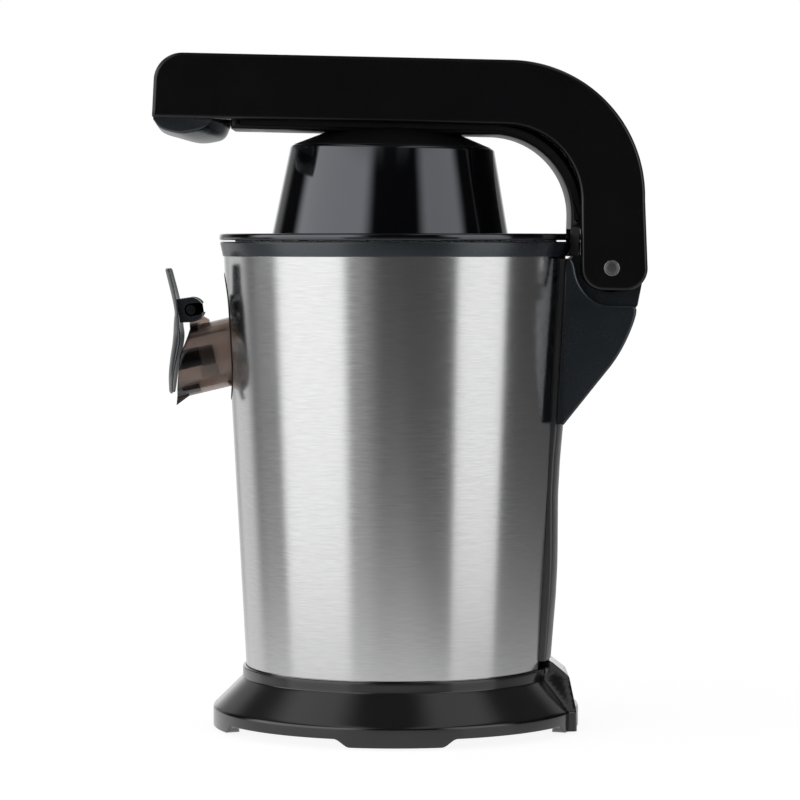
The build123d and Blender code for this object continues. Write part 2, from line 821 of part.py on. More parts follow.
with BuildPart() as reamer_fin_blade:
    with BuildSketch(Plane.XZ):
        with BuildLine():
            Polyline(*reamer_outline(1.0), close=True)
        make_face()
    extrude(amount=reamer_fin / 2, both=True)

with BuildPart() as reamer_cone:
    add(turned(reamer_outline(reamer_core)))
    with PolarLocations(0, reamer_fins):
        add(reamer_fin_blade.part)
    add(turned([(0, reamer_low_z), (reamer_r, reamer_low_z), (reamer_r, reamer_low_z + reamer_rim),
                (0, reamer_low_z + reamer_rim)]))
    hollow_r = reamer_core * reamer_r - skirt_wall
    add(turned([(hub_r, reamer_low_z), (hollow_r, reamer_low_z), (hollow_r * 0.62, reamer_low_z + 20),
                (hub_r, reamer_low_z + 26)]), mode=Mode.SUBTRACT)
    with BuildSketch(Plane.XY.offset(reamer_low_z)):
        Circle(shaft_r)
    extrude(amount=shaft_top_z - reamer_low_z, mode=Mode.SUBTRACT)
save(reamer_cone, "reamer_cone")

collar_low_z = seat_z + seat_wall + 0.1
with BuildPart() as drive_shaft:
    add(turned([
        (0, shaft_low_z), (shaft_r, shaft_low_z), (shaft_r, collar_low_z), (shaft_r + 4, collar_low_z),
        (shaft_r + 4, collar_low_z + 2.5), (shaft_r, collar_low_z + 2.5), (shaft_r, shaft_top_z),
        (0, shaft_top_z),
    ]))
save(drive_shaft, "drive_shaft")


def involute_angle(radius, base):
    """Angle in radians by which an involute has unrolled at the given radius."""
    return sqrt(max((radius / base) ** 2 - 1, 0)) - atan2(sqrt(max(radius ** 2 - base ** 2, 0)), base)


def gear_face(module, teeth, turn):
    """Spur gear outline with 20-degree involute flanks, turned by turn degrees."""
    pitch = module * teeth / 2
    base = pitch * cos(radians(20))
    tip = pitch + 0.85 * module
    root = pitch - 1.25 * module
    half_tooth = pi / (2 * teeth) - tooth_backlash / (2 * pitch) + involute_angle(pitch, base)
    radii = [max(base, root) + (tip - max(base, root)) * i / 4 for i in range(5)]
    points = []
    for tooth in range(teeth):
        middle = 2 * pi * tooth / teeth + radians(turn)
        rise = [(r, half_tooth - involute_angle(r, base)) for r in radii]
        flank = [(root, half_tooth)] + rise if root < base else rise
        points += [(r * cos(middle - a), r * sin(middle - a)) for r, a in flank]
        points += [(r * cos(middle + a), r * sin(middle + a)) for r, a in reversed(flank)]
    with BuildSketch() as outline:
        with BuildLine():
            Polyline(*points, close=True)
        make_face()
    return outline.sketch


gear1_low_z = 110.0
gear1_high_z = 118.0
gear2_low_z = 122.0
gear2_high_z = 132.0
pinion2_low_z = 118.0
pinion2_high_z = 134.5
mesh_turn = 90.0                # the idler stands at +Y of the main axis

with BuildPart() as output_gear:
    with BuildSketch(Plane.XY.offset(gear2_low_z)):
        add(gear_face(stage2_module, stage2_teeth[1], mesh_turn))
        Circle(shaft_r, mode=Mode.SUBTRACT)
    extrude(amount=gear2_high_z - gear2_low_z)
save(output_gear, "output_gear")

with BuildPart() as idler_gear:
    with BuildSketch(Plane.XY.offset(gear1_low_z)):
        with Locations((0, gear_centres)):
            add(gear_face(stage1_module, stage1_teeth[1], mesh_turn + 180 / stage1_teeth[1]))
    extrude(amount=gear1_high_z - gear1_low_z)
    with BuildSketch(Plane.XY.offset(pinion2_low_z)):
        with Locations((0, gear_centres)):
            add(gear_face(stage2_module, stage2_teeth[0], mesh_turn + 180 / stage2_teeth[0]))
    extrude(amount=pinion2_high_z - pinion2_low_z)
    with BuildSketch(Plane.XY.offset(gear1_low_z)):
        with Locations((0, gear_centres)):
            Circle(axle_r + shaft_fit)
    extrude(amount=pinion2_high_z - gear1_low_z, mode=Mode.SUBTRACT)
save(idler_gear, "idler_gear")

with BuildPart() as motor_pinion:
    with BuildSketch(Plane.XY.offset(gear1_low_z)):
        add(gear_face(stage1_module, stage1_teeth[0], mesh_turn))
        Circle(rotor_shaft_r, mode=Mode.SUBTRACT)
    extrude(amount=gear1_high_z - gear1_low_z)
save(motor_pinion, "motor_pinion")

rotor_low_z = motor_low_z - 6.0
armature_r = 22.0
armature_low_z = motor_low_z + 14.0
armature_high_z = motor_high_z - 10.0
fan_r = 30.0

with BuildPart() as rotor_shaft:
    with BuildSketch(Plane.XY.offset(rotor_low_z)):
        Circle(rotor_shaft_r)
    extrude(amount=gear1_high_z - rotor_low_z)
save(rotor_shaft, "rotor_shaft")

with BuildPart() as armature:
    with BuildSketch(Plane.XY.offset(armature_low_z)):
        Circle(armature_r)
        with PolarLocations(armature_r - 2.5, 12):
            Rectangle(6.0, 2.2, mode=Mode.SUBTRACT)
        Circle(rotor_shaft_r, mode=Mode.SUBTRACT)
    extrude(amount=armature_high_z - armature_low_z)
save(armature, "armature")

with BuildPart() as cooling_fan:
    with BuildSketch(Plane.XY.offset(rotor_low_z)):
        Circle(fan_r)
        Circle(rotor_shaft_r, mode=Mode.SUBTRACT)
    extrude(amount=1.4)
    with BuildSketch(Plane.XY.offset(rotor_low_z + 1.4)):
        with PolarLocations((fan_r + 10) / 2, 12):
            Rectangle(fan_r - 11, 1.4)
    extrude(amount=3.2)
save(cooling_fan, "cooling_fan")

with BuildPart() as motor_can:
    with BuildSketch(Plane.XY.offset(motor_low_z)):
        Circle(motor_r)
    extrude(amount=motor_high_z - motor_low_z)
    with BuildSketch(Plane.XY.offset(motor_low_z + motor_wall)):
        Circle(motor_r - motor_wall)
    extrude(amount=motor_high_z - motor_low_z, mode=Mode.SUBTRACT)
    with BuildSketch(Plane.XY.offset(motor_low_z)):
        Circle(rotor_shaft_r + shaft_fit)
        with PolarLocations(motor_r * 0.62, 6):
            Circle(4.0)
    extrude(amount=motor_wall, mode=Mode.SUBTRACT)
save(motor_can, "motor_can")

with BuildPart() as stator:
    with BuildSketch(Plane.XY.offset(armature_low_z - 3)):
        Circle(motor_r - motor_wall)
        Circle(armature_r + 0.8, mode=Mode.SUBTRACT)
        with PolarLocations(motor_r - motor_wall - 5.5, 4, start_angle=45):
            Circle(4.2, mode=Mode.SUBTRACT)
    extrude(amount=armature_high_z - armature_low_z + 6)
save(stator, "stator")

case_low_z = motor_high_z + cap_wall
with BuildPart() as motor_end_cap:
    with BuildSketch(Plane.XY.offset(motor_high_z)):
        Circle(motor_r + 3)
        Circle(rotor_shaft_r + shaft_fit, mode=Mode.SUBTRACT)
    extrude(amount=cap_wall)
save(motor_end_cap, "motor_end_cap")

stand_r = 4.0
stand_out = 4.0
stand_circle_r = case_r + stand_out
ear_r = 6.0
ear_bearings = (45, 135, 225, 315)
ear_places = [(stand_circle_r * cos(radians(b)), case_y + stand_circle_r * sin(radians(b)))
              for b in ear_bearings]
case_screw_r = 1.6

with BuildPart() as gearbox_case:
    with BuildSketch(Plane.XY.offset(case_low_z)):
        with Locations((0, case_y)):
            Circle(case_r)
        with Locations(*ear_places):
            Circle(ear_r)
    extrude(amount=case_wall)
    with BuildSketch(Plane.XY.offset(case_low_z)):
        with Locations((0, case_y)):
            Circle(case_r)
            Circle(case_r - case_wall, mode=Mode.SUBTRACT)
    extrude(amount=case_high_z - case_low_z)
    with BuildSketch(Plane.XY.offset(case_low_z)):
        Circle(rotor_shaft_r + 2)
        with Locations((0, gear_centres)):
            Circle(axle_r)
        with Locations(*ear_places):
            Circle(case_screw_r)
    extrude(amount=case_wall, mode=Mode.SUBTRACT)
save(gearbox_case, "gearbox_case")

cover_high_z = case_high_z + cover_wall
guide_r = 7.4
guide_top_z = cover_high_z + 6.0
spindle_bush_r = 5.6
cover_screw_count = 6
cover_screw_circle_r = case_r - 5.0

with BuildPart() as gearbox_cover:
    with BuildSketch(Plane.XY.offset(case_high_z)):
        with Locations((0, case_y)):
            Circle(case_r)
    extrude(amount=cover_wall)
    with BuildSketch(Plane.XY.offset(cover_high_z)):
        Circle(guide_r)
    extrude(amount=guide_top_z - cover_high_z)
    with BuildSketch(Plane.XY.offset(cover_high_z)):
        with Locations((post_x, 0), (-post_x, 0)):
            Circle(post_r)
    extrude(amount=seat_z + seat_wall + 4 - cover_high_z)
    with BuildSketch(Plane.XY.offset(case_high_z)):
        Circle(spindle_bush_r)
        with Locations((0, gear_centres)):
            Circle(axle_r)
        with Locations((0, case_y)):
            with PolarLocations(cover_screw_circle_r, cover_screw_count, start_angle=30):
                Circle(case_screw_r)
    extrude(amount=guide_top_z - case_high_z, mode=Mode.SUBTRACT)
save(gearbox_cover, "gearbox_cover")

with BuildPart() as gearbox_screws:
    with BuildSketch(Plane.XY.offset(cover_high_z)):
        with Locations((0, case_y)):
            with PolarLocations(cover_screw_circle_r, cover_screw_count, start_angle=30):
                Circle(screw_head_r - 0.8)
    extrude(amount=screw_head)
    with BuildSketch(Plane.XY.offset(cover_high_z)):
        with Locations((0, case_y)):
            with PolarLocations(cover_screw_circle_r, cover_screw_count, start_angle=30):
                Circle(case_screw_r)
    extrude(amount=-cover_wall - 5)
save(gearbox_screws, "gearbox_screws")

with BuildPart() as spindle_bush:
    with BuildSketch(Plane.XY.offset(case_high_z)):
        Circle(spindle_bush_r)
        Circle(shaft_r + shaft_fit, mode=Mode.SUBTRACT)
    extrude(amount=guide_top_z - case_high_z)
save(spindle_bush, "spindle_bush")

with BuildPart() as idler_axle:
    with BuildSketch(Plane.XY.offset(case_low_z)):
        with Locations((0, gear_centres)):
            Circle(axle_r)
    extrude(amount=cover_high_z - case_low_z)
save(idler_axle, "idler_axle")

with BuildPart() as shaft_seal:
    add(turned([
        (shaft_r + shaft_fit, sill_z), (seal_r, sill_z), (seal_r, sill_z + sill_wall),
        (seal_r + 1.5, sill_z + sill_wall), (shaft_r + shaft_fit, sill_z + sill_wall + 2.5),
    ]))
save(shaft_seal, "shaft_seal")

mount_rise = 4.0
with BuildPart() as rubber_mounts:
    with BuildSketch(Plane.XY.offset(deck_z)):
        with Locations(*ear_places):
            Circle(ear_r)
    extrude(amount=mount_rise)
save(rubber_mounts, "rubber_mounts")

with BuildPart() as support_posts:
    with BuildSketch(Plane.XY.offset(deck_z + mount_rise)):
        with Locations(*ear_places):
            Circle(stand_r)
    extrude(amount=case_low_z - deck_z - mount_rise)
    with BuildSketch(Plane.XY.offset(case_low_z)):
        with Locations(*ear_places):
            Circle(case_screw_r)
    extrude(amount=-10.0, mode=Mode.SUBTRACT)
save(support_posts, "support_posts")

with BuildPart() as post_screws:
    with BuildSketch(Plane.XY.offset(case_low_z + case_wall)):
        with Locations(*ear_places):
            Circle(screw_head_r - 0.8)
    extrude(amount=screw_head)
    with BuildSketch(Plane.XY.offset(case_low_z + case_wall)):
        with Locations(*ear_places):
            Circle(case_screw_r)
    extrude(amount=-case_wall - 8)
save(post_screws, "post_screws")

block_size = (24.0, 12.0, 12.0)
block_y = shell_bottom_r - 12.75
with BuildPart() as terminal_block:
    with BuildSketch(Plane.XY.offset(deck_z)):
        with Locations((0, block_y)):
            Rectangle(block_size[0], block_size[1])
    extrude(amount=block_size[2])
    with BuildSketch(Plane.XY.offset(deck_z + block_size[2])):
        with GridLocations(8, 1, 3, 1):
            with Locations((0, block_y)):
                Circle(2.2)
    extrude(amount=-4, mode=Mode.SUBTRACT)
save(terminal_block, "terminal_block")

# Start switch: pressing the reamer lowers the thrust plate onto the plunger
tab_half = 4.5
switch_half = 5.0
switch_long = 14.0
plunger_r = 1.6
plunger_top_z = seat_z - 0.2
switch_top_z = plunger_top_z - press_travel - 0.8

with BuildPart() as thrust_plate:
    with BuildSketch(Plane.XY.offset(seat_z)):
        Circle(post_x + post_r + 3.5)
        with Locations((switch_x / 2 + 2, 0)):
            Rectangle(switch_x + 4, 2 * tab_half)
        Circle(shaft_r + shaft_fit, mode=Mode.SUBTRACT)
        with Locations((post_x, 0), (-post_x, 0)):
            Circle(post_r + shaft_fit, mode=Mode.SUBTRACT)
    extrude(amount=seat_wall)
save(thrust_plate, "thrust_plate")

spring_rise = seat_z - cover_high_z - 2 * spring_wire_r
spring_pitch = (spring_rise - 0.1) / spring_turns
with BuildPart() as return_spring:
    with BuildLine() as coil:
        Helix(spring_pitch, spring_pitch * spring_turns, spring_r,
              center=(0, 0, cover_high_z + spring_wire_r + 0.05))
    with BuildSketch(Plane(origin=coil.line @ 0, z_dir=coil.line % 0)):
        Circle(spring_wire_r)
    sweep()
save(return_spring, "return_spring")

with BuildPart() as switch_body:
    with BuildSketch(Plane.XY.offset(cover_high_z)):
        with Locations((switch_x, 0)):
            Rectangle(2 * switch_half, switch_long)
    extrude(amount=switch_top_z - cover_high_z)
    with BuildSketch(Plane.XY.offset(switch_top_z)):
        with Locations((switch_x, 0)):
            Circle(plunger_r + shaft_fit)
    extrude(amount=-press_travel - 2.5, mode=Mode.SUBTRACT)
save(switch_body, "switch_body")

with BuildPart() as switch_plunger:
    with BuildSketch(Plane.XY.offset(switch_top_z - 2.2)):
        with Locations((switch_x, 0)):
            Circle(plunger_r)
    extrude(amount=plunger_top_z - switch_top_z + 2.2)
    fillet(switch_plunger.edges().group_by(Axis.Z)[-1], 0.5)
save(switch_plunger, "switch_plunger")

# ------------------------------------------------------------------ lever arm


def set_tilt(piece):
    """A lever piece drawn level, turned up at its front by the lever's resting tilt."""
    hinge = Axis((0, pin_y, pin_z), (-1, 0, 0))
    return piece.rotate(hinge, rest_tilt)


def keep_tilted(piece, name):
    """Label a lever piece, set its tilt and write its STEP file."""
    tilted = set_tilt(piece.part)
    tilted.label = name
    export_step(tilted, f"parts/{name}.step")
    made.append(name)


def arm_face(inset):
    """Side outline of the arm, inset all round by inset millimetres."""
    top = arm_top_z - inset
    front = arm_front_y + inset
    back = arm_back_y - inset
    outer_r = arm_outer_r - inset
    inner_r = arm_inner_r + inset
    under = arm_under_z + inset
    inner = arm_inner_y + inset
    low = pin_z - cheek_drop + inset
    flat_front = pin_y + cheek_flat[0]
    flat_back = pin_y + cheek_flat[1]
    foot_front = pin_y - cheek_r + inset
    foot_back = pin_y + cheek_back - inset
    with BuildSketch() as outline:
        with BuildLine():
            Line((inner - inner_r, under), (front, under))
            Line((front, under), (front + 0.5, top - arm_nose_r))
            ThreePointArc(
                (front + 0.5, top - arm_nose_r),
                (front + 0.5 + arm_nose_r * (1 - cos(pi / 4)), top - arm_nose_r * (1 - sin(pi / 4))),
                (front + 0.5 + arm_nose_r, top),
            )
            Line((front + 0.5 + arm_nose_r, top), (back - outer_r, top))
            ThreePointArc(
                (back - outer_r, top),
                (back - outer_r * (1 - cos(pi / 4)), top - outer_r * (1 - sin(pi / 4))),
                (back, top - outer_r),
            )
            Line((back, top - outer_r), (foot_back, pin_z))
            ThreePointArc(
                (foot_back, pin_z),
                (flat_back + (foot_back - flat_back) * cos(pi / 4), pin_z + (low - pin_z) * sin(pi / 4)),
                (flat_back, low),
            )
            Line((flat_back, low), (flat_front, low))
            ThreePointArc(
                (flat_front, low),
                (flat_front + (foot_front - flat_front) * cos(pi / 4), pin_z + (low - pin_z) * sin(pi / 4)),
                (foot_front, pin_z),
            )
            Line((foot_front, pin_z), (inner, under - inner_r))
            ThreePointArc(
                (inner, under - inner_r),
                (inner - inner_r * (1 - cos(pi / 4)), under - inner_r * (1 - sin(pi / 4))),
                (inner - inner_r, under),
            )
        make_face()
    return outline.sketch


with BuildPart() as arm_solid:
    with BuildSketch(Plane.YZ):
        add(arm_face(0))
    extrude(amount=arm_half, both=True)
    side_edges = [e for e in arm_solid.edges() if abs(abs(e.center().X) - arm_half) < 0.01]
    fillet(side_edges, arm_edge_r)

cavity_half = arm_half - 4.0
opening = [
    (cover_front_y, arm_under_z - 5), (arm_inner_y - arm_inner_r, arm_under_z - 5),
    (arm_inner_y - 10, arm_under_z - 20), (arm_inner_y - 3, cheek_top_z), (arm_inner_y + 9, cheek_top_z),
    (arm_inner_y + 5, arm_under_z - 20), (arm_inner_y - 12, arm_under_z + 4.5),
    (cover_front_y, arm_under_z + 4.5),
]
leg_back_y = arm_back_y - leg_wall       # rear wall between the cheeks, clear of the hinge tongue
leg_low_z = pin_z - 17.26
leg_high_z = pin_z + 32.74
leg_gate_z = pin_z + 20.0        # the rear wall ends here, so that it swings clear of the bracket
leg_out_y = pin_y + cheek_back + 1
leg_hollow = [
    (wing_root_y, leg_low_z), (leg_out_y, leg_low_z), (leg_out_y, leg_gate_z),
    (leg_back_y, leg_gate_z), (leg_back_y, leg_high_z), (wing_root_y, leg_high_z),
]

with BuildPart() as arm_shell:
    add(arm_solid.part)
    with BuildSketch(Plane.YZ):
        add(arm_face(arm_wall))
    extrude(amount=cavity_half, both=True, mode=Mode.SUBTRACT)
    add(side_slab(opening, cavity_half), mode=Mode.SUBTRACT)
    add(side_slab(leg_hollow, cheek_inner), mode=Mode.SUBTRACT)
    with BuildSketch(Plane.YZ):
        with Locations((pin_y, pin_z)):
            Circle(pin_r)
    extrude(amount=arm_half + 1, both=True, mode=Mode.SUBTRACT)
keep_tilted(arm_shell, "arm_shell")

cover_low_z = arm_under_z - cover_proud
cover_high_z_in = arm_under_z + 2.0
cover_wall_in = cover_back_y + cover_deep
skirt_low_z = pin_z + 5.1        # the cover's side skirts reach down beside the bowl's rim
skirt_in = 24.4
skirt_deep = 4.0


def cover_face(drop):
    """Side outline of the arm's underside cover, its showing face set back by drop."""
    under = cover_low_z + drop
    back = cover_back_y + drop
    radius = cover_inner_r + drop
    inside = cover_inner_r + 8.0
    with BuildSketch() as outline:
        with BuildLine():
            Line((cover_front_y, cover_high_z_in), (cover_front_y, under))
            Line((cover_front_y, under), (back - radius, under))
            ThreePointArc(
                (back - radius, under),
                (back - radius * (1 - cos(pi / 4)), under - radius * (1 - sin(pi / 4))),
                (back, under - radius),
            )
            Line((back, under - radius), (back, cheek_top_z + 0.6))
            Line((back, cheek_top_z + 0.6), (cover_wall_in, cheek_top_z + 0.6))
            Line((cover_wall_in, cheek_top_z + 0.6), (cover_wall_in, cover_high_z_in - inside))
            ThreePointArc(
                (cover_wall_in, cover_high_z_in - inside),
                (cover_wall_in - inside * (1 - cos(pi / 4)),
                 cover_high_z_in - inside * (1 - sin(pi / 4))),
                (cover_wall_in - inside, cover_high_z_in),
            )
            Line((cover_wall_in - inside, cover_high_z_in), (cover_front_y, cover_high_z_in))
        make_face()
    return outline.sketch


crown_line = [
    (0, bell_top_z), (bell_top_r, bell_top_z), (crown_r, crown_z), (crown_r, crown_seat_z),
    (0, crown_seat_z),
]


def about_bell(points):
    """Solid of revolution about the bell's own axis."""
    return turned(points).moved(Location((0, bell_y, 0)))


arm_screw_y = (-70.0, 32.0)
arm_screw_x = 14.0
arm_screw_r = 1.8
with BuildPart() as arm_screws:
    for y in arm_screw_y:
        with BuildSketch(Plane.XY.offset(cover_low_z)):
            with Locations((-arm_screw_x, y), (arm_screw_x, y)):
                Circle(screw_head_r)
        extrude(amount=screw_head)
        with BuildSketch(Plane.XY.offset(cover_low_z)):
            with Locations((-arm_screw_x, y), (arm_screw_x, y)):
                Circle(arm_screw_r)
        extrude(amount=cover_proud + 5)
keep_tilted(arm_screws, "arm_screws")

with BuildPart() as arm_liner:
    with BuildSketch(Plane.YZ):
        add(cover_face(0))
    extrude(amount=cover_half - cover_slope, both=True)
    for side in (-1, 1):
        with BuildSketch(Plane.YZ.offset(side * (cover_half - cover_slope))):
            add(cover_face(0))
        with BuildSketch(Plane.YZ.offset(side * cover_half)):
            add(cover_face(cover_proud))
        loft(ruled=True)
    with BuildSketch(Plane.XY.offset(skirt_low_z)):
        for side in (-1, 1):
            with BuildLine():
                Polyline(
                    (side * skirt_in, cover_back_y), (side * (cover_half - cover_slope), cover_back_y),
                    (side * (cover_half - cover_slope * (1 - skirt_deep / cover_proud)),
                     cover_back_y + skirt_deep),
                    (side * skirt_in, cover_back_y + skirt_deep), close=True,
                )
            make_face()
    extrude(amount=cheek_top_z + 1.6 - skirt_low_z)
    add(about_bell(crown_line), mode=Mode.SUBTRACT)
    add(arm_screws.part, mode=Mode.SUBTRACT)
keep_tilted(arm_liner, "arm_liner")

with BuildPart() as bell_crown:
    add(about_bell(crown_line))
    with BuildSketch(Plane.XY.offset(bell_top_z)):
        with Locations((0, bell_y)):
            Circle(cup_screw_r)
    extrude(amount=crown_seat_z - bell_top_z, mode=Mode.SUBTRACT)
keep_tilted(bell_crown, "bell_crown")

bell_floor_z = bell_top_z - bell_wall
with BuildPart() as press_bell:
    add(about_bell([
        (bell_low_r, bell_low_z), (bell_top_r, bell_top_z), (cup_screw_r, bell_top_z),
        (cup_screw_r, bell_floor_z), (bell_top_r - bell_wall, bell_floor_z),
        (bell_low_r - bell_wall, bell_low_z),
    ]))
    top_edge = press_bell.edges().filter_by(GeomType.CIRCLE).filter_by_position(
        Axis.Z, bell_top_z - 0.01, bell_top_z + 0.01).sort_by(SortBy.RADIUS)[-1]
    fillet(top_edge, bell_edge_r)
keep_tilted(press_bell, "press_bell")

cup_seat_r = 11.0
cup_flange_r = bell_low_r - bell_wall - 1.6
cup_flange = 1.8
rib_depth = 1.6
rib_half = 1.0
cup_line = [(13.0, 1.2), (27.6, 8.2), (38.8, 19.4), (44.8, 31.0)]   # (radius, drop below the apex)


def cup_points(grow, lift):
    """Points down the dome, moved outwards by grow and up by lift."""
    return [(r + grow, cup_apex_z - drop + lift) for r, drop in cup_line]


with BuildPart() as cup_rib:
    with BuildSketch(Plane.XZ):
        with BuildLine():
            Polyline(
                *cup_points(-rib_depth * 0.6, -rib_depth * 0.5), (cup_rim_r - rib_depth, cup_rim_z),
                (cup_rim_r + 0.5, cup_rim_z), *reversed(cup_points(0.6, 0.4)), close=True,
            )
        make_face()
    extrude(amount=rib_half, both=True)

with BuildPart() as press_cup:
    with Locations((0, bell_y, 0)):
        add(turned([
            (cup_screw_r, cup_apex_z), (cup_screw_r + 4, cup_apex_z), *cup_points(0, 0),
            (cup_rim_r, cup_rim_z), (cup_flange_r, cup_rim_z),
            (cup_flange_r - 0.3, cup_rim_z + cup_flange),
            (cup_rim_r + cup_wall, cup_rim_z + cup_flange), *reversed(cup_points(cup_wall, 0.9)),
            (cup_seat_r, bell_floor_z), (cup_screw_r, bell_floor_z),
        ]))
        with PolarLocations(0, cup_ribs):
            add(cup_rib.part)
keep_tilted(press_cup, "press_cup")

with BuildPart() as cup_screw:
    add(about_bell([
        (0, cup_apex_z - 1.0), (cup_screw_r + 3, cup_apex_z - 1.0), (cup_screw_r + 3, cup_apex_z),
        (cup_screw_r, cup_apex_z), (cup_screw_r, crown_seat_z), (0, crown_seat_z),
    ]))
keep_tilted(cup_screw, "cup_screw")

grip_front_y = arm_front_y + 0.7
# Undersides of the grip, at its sides and in its middle, about its front top corner
grip_side = [(3.1, -4.7), (8.1, -6.6), (13.5, -7.2), (20.3, -6.0), (25.7, -4.0)]
grip_mid = [(3.1, -6.4), (11.0, -9.0), (21.1, -11.3), (29.1, -10.5), (34.0, -8.2)]
grip_side_long = 28.9
grip_mid_long = 37.2
grip_step = 1.0


def grip_section(at, points, length):
    """Cross-outline of the finger grip at X = at: flat on top, bellied below."""
    heel_y = grip_front_y + length
    step_z = arm_under_z - grip_step
    belly = placed(points, grip_front_y, arm_under_z)
    with BuildSketch(Plane.YZ.offset(at)) as section:
        with BuildLine():
            Spline((grip_front_y, step_z), *belly, (heel_y, step_z))
            Polyline((heel_y, step_z), (heel_y, arm_under_z), (grip_front_y, arm_under_z),
                     (grip_front_y, step_z))
        make_face()
    return section.sketch


with BuildPart() as finger_grip:
    add(grip_section(-grip_half, grip_side, grip_side_long))
    add(grip_section(0, grip_mid, grip_mid_long))
    add(grip_section(grip_half, grip_side, grip_side_long))
    loft()
keep_tilted(finger_grip, "finger_grip")

with BuildPart() as hinge_pin:
    with BuildSketch(Plane.YZ):
        with Locations((pin_y, pin_z)):
            Circle(pin_r)
    extrude(amount=arm_half + 0.3, both=True)
    fillet(hinge_pin.edges().filter_by(GeomType.CIRCLE), 0.5)
save(hinge_pin, "hinge_pin")
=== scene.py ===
from math import cos, pi, radians, sin, sqrt, tan

import bpy
import numpy as np
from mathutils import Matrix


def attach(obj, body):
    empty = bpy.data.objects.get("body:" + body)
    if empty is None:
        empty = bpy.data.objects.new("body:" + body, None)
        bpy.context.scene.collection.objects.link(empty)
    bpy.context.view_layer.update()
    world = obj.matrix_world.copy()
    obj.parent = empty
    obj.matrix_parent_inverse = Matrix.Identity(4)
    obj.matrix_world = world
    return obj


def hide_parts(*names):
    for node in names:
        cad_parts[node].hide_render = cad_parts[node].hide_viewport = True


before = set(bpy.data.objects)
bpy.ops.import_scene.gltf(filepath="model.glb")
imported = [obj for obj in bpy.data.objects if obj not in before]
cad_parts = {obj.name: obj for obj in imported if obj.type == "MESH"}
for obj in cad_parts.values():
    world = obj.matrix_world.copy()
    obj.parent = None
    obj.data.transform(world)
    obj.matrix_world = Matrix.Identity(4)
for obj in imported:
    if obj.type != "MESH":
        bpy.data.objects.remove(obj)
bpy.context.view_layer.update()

# Lever citrus juice press, put together from the floor up: base, tower, bowl and spout, drive,
# then the lever with its bell. Lengths are in metres, the spout points to -Y and the hinge is on +Y.

# ---------------------------------------------------------------- studio: camera, floor and light
# A long lens looks at the press from its +X side, a little downwards. Floor and backdrop are white. All
# light comes from the world: soft boxes stand round the press at bearings from the camera's axis, wider
# above the horizon than below it, and two more hang overhead.
MM = 0.001
SENSOR, PICTURE, LENS_PIXELS = 36.0, 800.0, 3500.0
CAMERA_FAR = 1.750
CAMERA_HIGH = 0.2425
AXIS_TO_LEFT = 0.0021
PITCH = radians(2.60)

scene = bpy.context.scene
scene.view_settings.view_transform = "Standard"
camera = bpy.data.objects.new("camera", bpy.data.cameras.new("camera"))
camera.data.lens = SENSOR * LENS_PIXELS / PICTURE
camera.data.sensor_width = SENSOR
camera.data.clip_end = 20.0
camera.location = (CAMERA_FAR, AXIS_TO_LEFT, CAMERA_HIGH)
camera.rotation_euler = (pi / 2 - PITCH, 0.0, pi / 2)
scene.collection.objects.link(camera)
scene.camera = camera


class Flow:
    """A value on its way through a material's nodes: arithmetic on it adds the Math nodes."""

    def __init__(self, tree, socket):
        self.tree = tree
        self.socket = socket

    def node(self, kind, settings=None, out=0, **inputs):
        """Adds a node with its settings, then its socket values or links, and gives one output."""
        made = self.tree.nodes.new(kind)
        for name, value in (settings or {}).items():
            if name == "stops":
                ramp = made.color_ramp
                while len(ramp.elements) < len(value):
                    ramp.elements.new(0.5)
                for element, (place, shade) in zip(ramp.elements, value):
                    element.position = place
                    element.color = (shade, shade, shade, 1.0)
            else:
                setattr(made, name, value)
        for name, value in inputs.items():
            key = int(name[1:]) if name[0] == "i" and name[1:].isdigit() else name.replace("_", " ")
            self.plug(made.inputs[key], value)
        return Flow(self.tree, made.outputs[out] if len(made.outputs) else None)

    def plug(self, socket, value):
        """Links a Flow to a socket, or sets a plain value on it."""
        if isinstance(value, Flow):
            self.tree.links.new(value.socket, socket)
        else:
            socket.default_value = value

    def maths(self, what, other, turned=False):
        """One Math node of this value and another."""
        first, second = (other, self) if turned else (self, other)
        return self.node("ShaderNodeMath", {"operation": what}, i0=first, i1=second)

    def __add__(self, other):
        return self.maths("ADD", other)

    def __sub__(self, other):
        return self.maths("SUBTRACT", other)

    def __rsub__(self, other):
        return self.maths("SUBTRACT", other, turned=True)

    def __mul__(self, other):
        return self.maths("MULTIPLY", other)

    def __truediv__(self, other):
        return self.maths("DIVIDE", other)

    __radd__ = __add__
    __rmul__ = __mul__

    def output(self, name):
        """Another output of the node that this value comes from."""
        return Flow(self.tree, self.socket.node.outputs[name])

    def step(self, low, high):
        """0 below low, 1 above high, smooth between."""
        return self.node("ShaderNodeMapRange", {"interpolation_type": "SMOOTHSTEP"},
                         Value=self, From_Min=low, From_Max=high)

    def blend(self, dark, light):
        """The colour dark where this is 0 and light where it is 1."""
        return self.node("ShaderNodeMix", {"data_type": "RGBA"}, out=2, i0=self, i6=dark, i7=light)


def open_nodes(owner):
    """A cleared node tree of a material or world, as a Flow to start from."""
    owner.use_nodes = True
    owner.node_tree.nodes.clear()
    return Flow(owner.node_tree, None)


def grey(level):
    """An opaque grey of that linear level."""
    return (level, level, level, 1.0)


